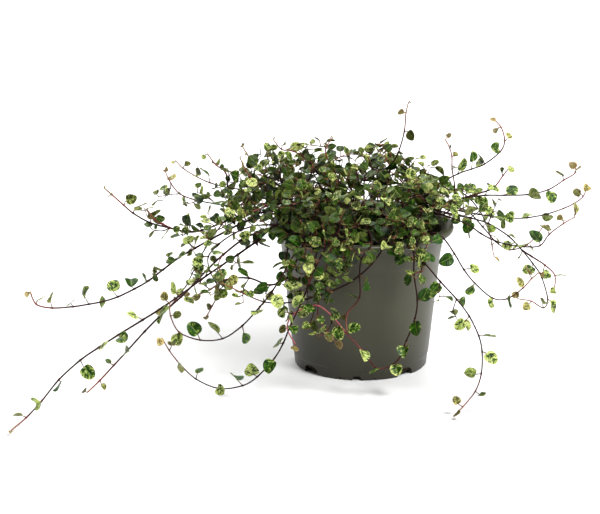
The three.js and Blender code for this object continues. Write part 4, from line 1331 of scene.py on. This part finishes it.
def make_pot():
    neck = POT_HEIGHT - LIP_DROP
    outline = eased([
        (0, 0),
        (FOOT_RADIUS - FOOT_STEP, 0),
        (outer_radius(FOOT_HEIGHT) - FOOT_STEP, FOOT_HEIGHT),
        (outer_radius(FOOT_HEIGHT + 0.8), FOOT_HEIGHT + 0.8),
        (outer_radius(RING_HEIGHT), RING_HEIGHT),
        (outer_radius(RING_HEIGHT) + RING_STEP, RING_HEIGHT + 0.7),
        (NECK_RADIUS + RING_STEP, neck),
        (LIP_RADIUS - 1.6, neck - 0.6),
        (LIP_RADIUS - 0.2, neck + 0.6),
        (LIP_RADIUS, neck + 2.2),
        (LIP_RADIUS - 0.8, POT_HEIGHT - 0.8),
        (LIP_RADIUS - 2.6, POT_HEIGHT),
        (NECK_RADIUS + 1.2, POT_HEIGHT - 0.9),
        (inner_radius(neck), neck),
        (inner_radius(FLOOR), FLOOR),
        (0, FLOOR),
    ], POT_EASE)
    pot = solid("nursery_pot", *turned(outline, POT_SEGMENTS))
    points, faces = [], []
    for i in range(ARCHES):
        turn = FIRST_ARCH + i * 360 / ARCHES
        cuts = [foot_slot(turn, *(TALL_ARCH if i % 2 else LOW_ARCH))]
        if not i % 2:
            cuts += [foot_slot(turn + side, *NOTCH) for side in (-NOTCH_TURN, NOTCH_TURN)]
        for more_points, more_faces in cuts:
            faces += [tuple(index + len(points) for index in face) for face in more_faces]
            points += more_points
    cutter = solid("slot_cutter", points, faces)
    cut = pot.modifiers.new("slots", "BOOLEAN")
    cut.operation = "DIFFERENCE"
    cut.solver = "EXACT"
    cut.object = cutter
    made = bpy.data.meshes.new_from_object(pot.evaluated_get(bpy.context.evaluated_depsgraph_get()))
    pot.modifiers.clear()
    pot.data = made
    bpy.data.objects.remove(cutter)
    made.shade_smooth()
    made.set_sharp_from_angle(angle=SHARP_TURN)
    made.materials.append(pot_material())
    return pot


# Soil: a lumpy plug, and loose crumbs pressed into its top

SOIL_RINGS = 34
SOIL_SEGMENTS = 96
SOIL_LUMP = 1.5
SOIL_SUNK = 1.2
CRUMBS = 420
CRUMB_SEED = 77
CRUMB_SIZE = (0.5, 1.9)
CRUMB_STRETCH = (0.6, 1.1)
CRUMB_WOBBLE = 0.2
CRUMB_EDGE = 4
CRUMB_POINTS = [(1, 0, 0), (0, 1, 0), (-1, 0, 0), (0, -1, 0), (0, 0, 1), (0, 0, -1)]
CRUMB_FACES = [(0, 1, 4), (1, 2, 4), (2, 3, 4), (3, 0, 4), (1, 0, 5), (2, 1, 5), (3, 2, 5), (0, 3, 5)]


def ripple(x, y):
    """Smooth uneven ground from a few crossing waves."""
    return (math.sin(x * 0.31 + 1.3 * math.sin(y * 0.17)) + math.sin(y * 0.37 + 1.7 * math.sin(x * 0.23))
            + 0.6 * math.sin(x * 0.83 + y * 0.61) + 0.5 * math.sin(y * 1.13 - x * 0.71)) / 3.1


def make_soil():
    outer = inner_radius(SOIL_TOP) - GAP
    outline = [(0, FLOOR + GAP), (inner_radius(FLOOR + GAP) - GAP, FLOOR + GAP),
               (inner_radius(SOIL_TOP - 3) - GAP, SOIL_TOP - 3)]
    level = SOIL_TOP - SOIL_SUNK
    top = [(outer * (1 - k / SOIL_RINGS) - 1.5, level) for k in range(1, SOIL_RINGS)]
    points, faces = turned(outline + top + [(0, level)], SOIL_SEGMENTS)
    for point in points:
        if point[2] > SOIL_TOP - 2:
            point[2] += SOIL_LUMP * ripple(point[0], point[1])
    points = list(points)
    random = Stream(CRUMB_SEED)
    for _ in range(CRUMBS):
        turn = random.between(0, 2 * math.pi)
        r = (outer - CRUMB_EDGE) * math.sqrt(random.draw())
        x, y = r * math.cos(turn), r * math.sin(turn)
        grain = random.between(*CRUMB_SIZE)
        middle = np.array([x, y, level + SOIL_LUMP * ripple(x, y) + grain * 0.2])
        faces += [tuple(len(points) + k for k in face) for face in CRUMB_FACES]
        for way in CRUMB_POINTS:
            stretched = np.array(way) * grain * random.between(*CRUMB_STRETCH)
            points.append(middle + stretched + random.wobble(grain * CRUMB_WOBBLE))
    soil = solid("potting_soil", points, faces)
    soil.data.materials.append(soil_material())
    return soil


# Assembly: each stem's and leaf's habit, and a piece for each plant node

YOUTH_REACH = 34
YOUTH_SPREAD = (0.5, 1.1)
SHY_YOUTH = 0.12
FAR_START = 70
FAR_REACH = 80
# Painted shade: leaves deep in the mound lose this much cream, which also darkens their green
DEEP_SHADE_SHARE = 0.8
CROWN_CREAM = (-0.05, 0.6)
FAR_CREAM = (0.2, 0.56)
SHADES = 19


def stem_habit(name, owner, k, length):
    """A stem's girth, how long its red end is, and whether it is the bright one."""
    twig = length < TWIG_LENGTH
    bright = k == 0 and name == BRIGHT_VINE
    girth = TWIG_GIRTH if twig else THICK_GIRTH if name.startswith(THICK_VINES) else VINE_GIRTH
    if name.startswith("shoot") or twig:
        return girth, SHORT_RED if (owner + 3 * k) % RARE else RARE_RED, bright
    return girth, BRIGHT_LENGTH if bright else RED_LENGTH, bright


def leaf_habit(leaf, from_tip, tender, random):
    """How young a leaf looks, and how much cream it has. Leaves deep in the mound get less cream and so a
    darker green, which is painted shade.
    """
    youth = tender * max(0, 1 - from_tip / YOUTH_REACH) * random.between(*YOUTH_SPREAD)
    far = min(1, max(0, (size(leaf.base - DOME_CENTRE) - FAR_START) / FAR_REACH))
    # Painted shade for leaves deep in the mound, taken off their cream
    deep_shade = max(0, 1 - off_centre(leaf.base)) * DEEP_SHADE_SHARE
    cream_and_shade = mix(random.between(*CROWN_CREAM), random.between(*FAR_CREAM), far) - deep_shade
    return min(1, youth), cream_and_shade


def plant_mesh(owner, name, stems):
    skin = Skin()
    for k, stem in enumerate(stems):
        reach = reach_along(stem.joints)
        girth, red, bright = stem_habit(name, owner, k, reach[-1])
        stem_skin(skin, stem, girth, red, bright, (owner * 7 + k) % SHADES / SHADES)
        tender = 1 if name.startswith(("vine", "sprig")) and k == 0 else SHY_YOUTH
        for i, leaf in sorted(stem.leaves.items()):
            random = Stream(SEEDS["look"] + 401 * owner + 37 * k + i)
            youth, cream_and_shade = leaf_habit(leaf, reach[-1] - reach[i], tender, random)
            if name.startswith("sprig"):
                leaf.length *= SPRIG_SHRINK
            leaf_skin(skin, leaf, youth, cream_and_shade, 31 * owner + 7 * k + i + 1)
    return skin.mesh(f"{name}_grown")


looks = [stem_material(), leaf_material("leaf_upper", False), leaf_material("leaf_underside", True)]
for owner, (name, stems) in enumerate(plants):
    plant = linked(f"{name}_grown", plant_mesh(owner, name, stems))
    for look in looks:
        plant.data.materials.append(look)
    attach(plant, "root")
    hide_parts(name)

pot = make_pot()
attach(pot, "root")
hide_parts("pot")
soil = make_soil()
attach(soil, "root")
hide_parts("soil")

bpy.context.scene.view_settings.view_transform = "Standard"

# Studio: a plain pale floor, soft light and the camera where the picture was taken from

FLOOR_REACH = 9000
WORLD_STRENGTH = 0.15
SKY_POWER = 1.7
SKY_SPREAD = math.radians(50)
SKY_TURN = (math.radians(14), math.radians(10), 0)

# Soft lamps: name, place, aim, width and power
LAMPS = [
    ("key", (0.95, -1.05, 1.65), (0, 0, 0.1), 0.8, 78),
    ("fill", (-1.0, 1.3, 1.5), (-0.15, 0.1, 0), 1.2, 33),
    ("rim", (1.6, 0.7, 0.8), (0, 0, 0.1), 0.8, 8),
    ("backdrop", (0, 2.6, 2.4), (0, 2.2, 0), 2.0, 135),
]
SENSOR_WIDTH = 36
PICTURE_WIDTH = 600


def soft_light(name, place, aim, width, power):
    lamp = bpy.data.lights.new(name, "AREA")
    lamp.size = width
    lamp.energy = power
    made = linked(name, lamp)
    x, y, z = np.array(aim) - np.array(place)
    made.location = place
    made.rotation_euler = (math.pi / 2 + math.atan2(z, math.hypot(x, y)), 0, math.atan2(y, x) - math.pi / 2)


corners = [(FLOOR_REACH * x, FLOOR_REACH * y, 0) for x, y in ((-1, -1), (1, -1), (1, 1), (-1, 1))]
floor = solid("studio_floor", corners, [(0, 1, 2, 3)])
floor.data.materials.append(floor_material())

world = bpy.data.worlds.new("studio")
world.use_nodes = True
background = world.node_tree.nodes["Background"]
background.inputs["Color"].default_value = rgb(1, 1, 1)
background.inputs["Strength"].default_value = WORLD_STRENGTH
bpy.context.scene.world = world

sky = linked("sky_light", bpy.data.lights.new("sky_light", "SUN"))
sky.data.energy = SKY_POWER
sky.data.angle = SKY_SPREAD
sky.rotation_euler = SKY_TURN
for lamp in LAMPS:
    soft_light(*lamp)

camera = linked("camera", bpy.data.cameras.new("camera"))
camera.location = CAMERA_PLACE * MM
camera.rotation_euler = (math.radians(90 - CAMERA_TILT), 0, 0)
camera.data.lens = CAMERA_FOCUS * SENSOR_WIDTH / PICTURE_WIDTH
camera.data.sensor_width = SENSOR_WIDTH
bpy.context.scene.camera = camera
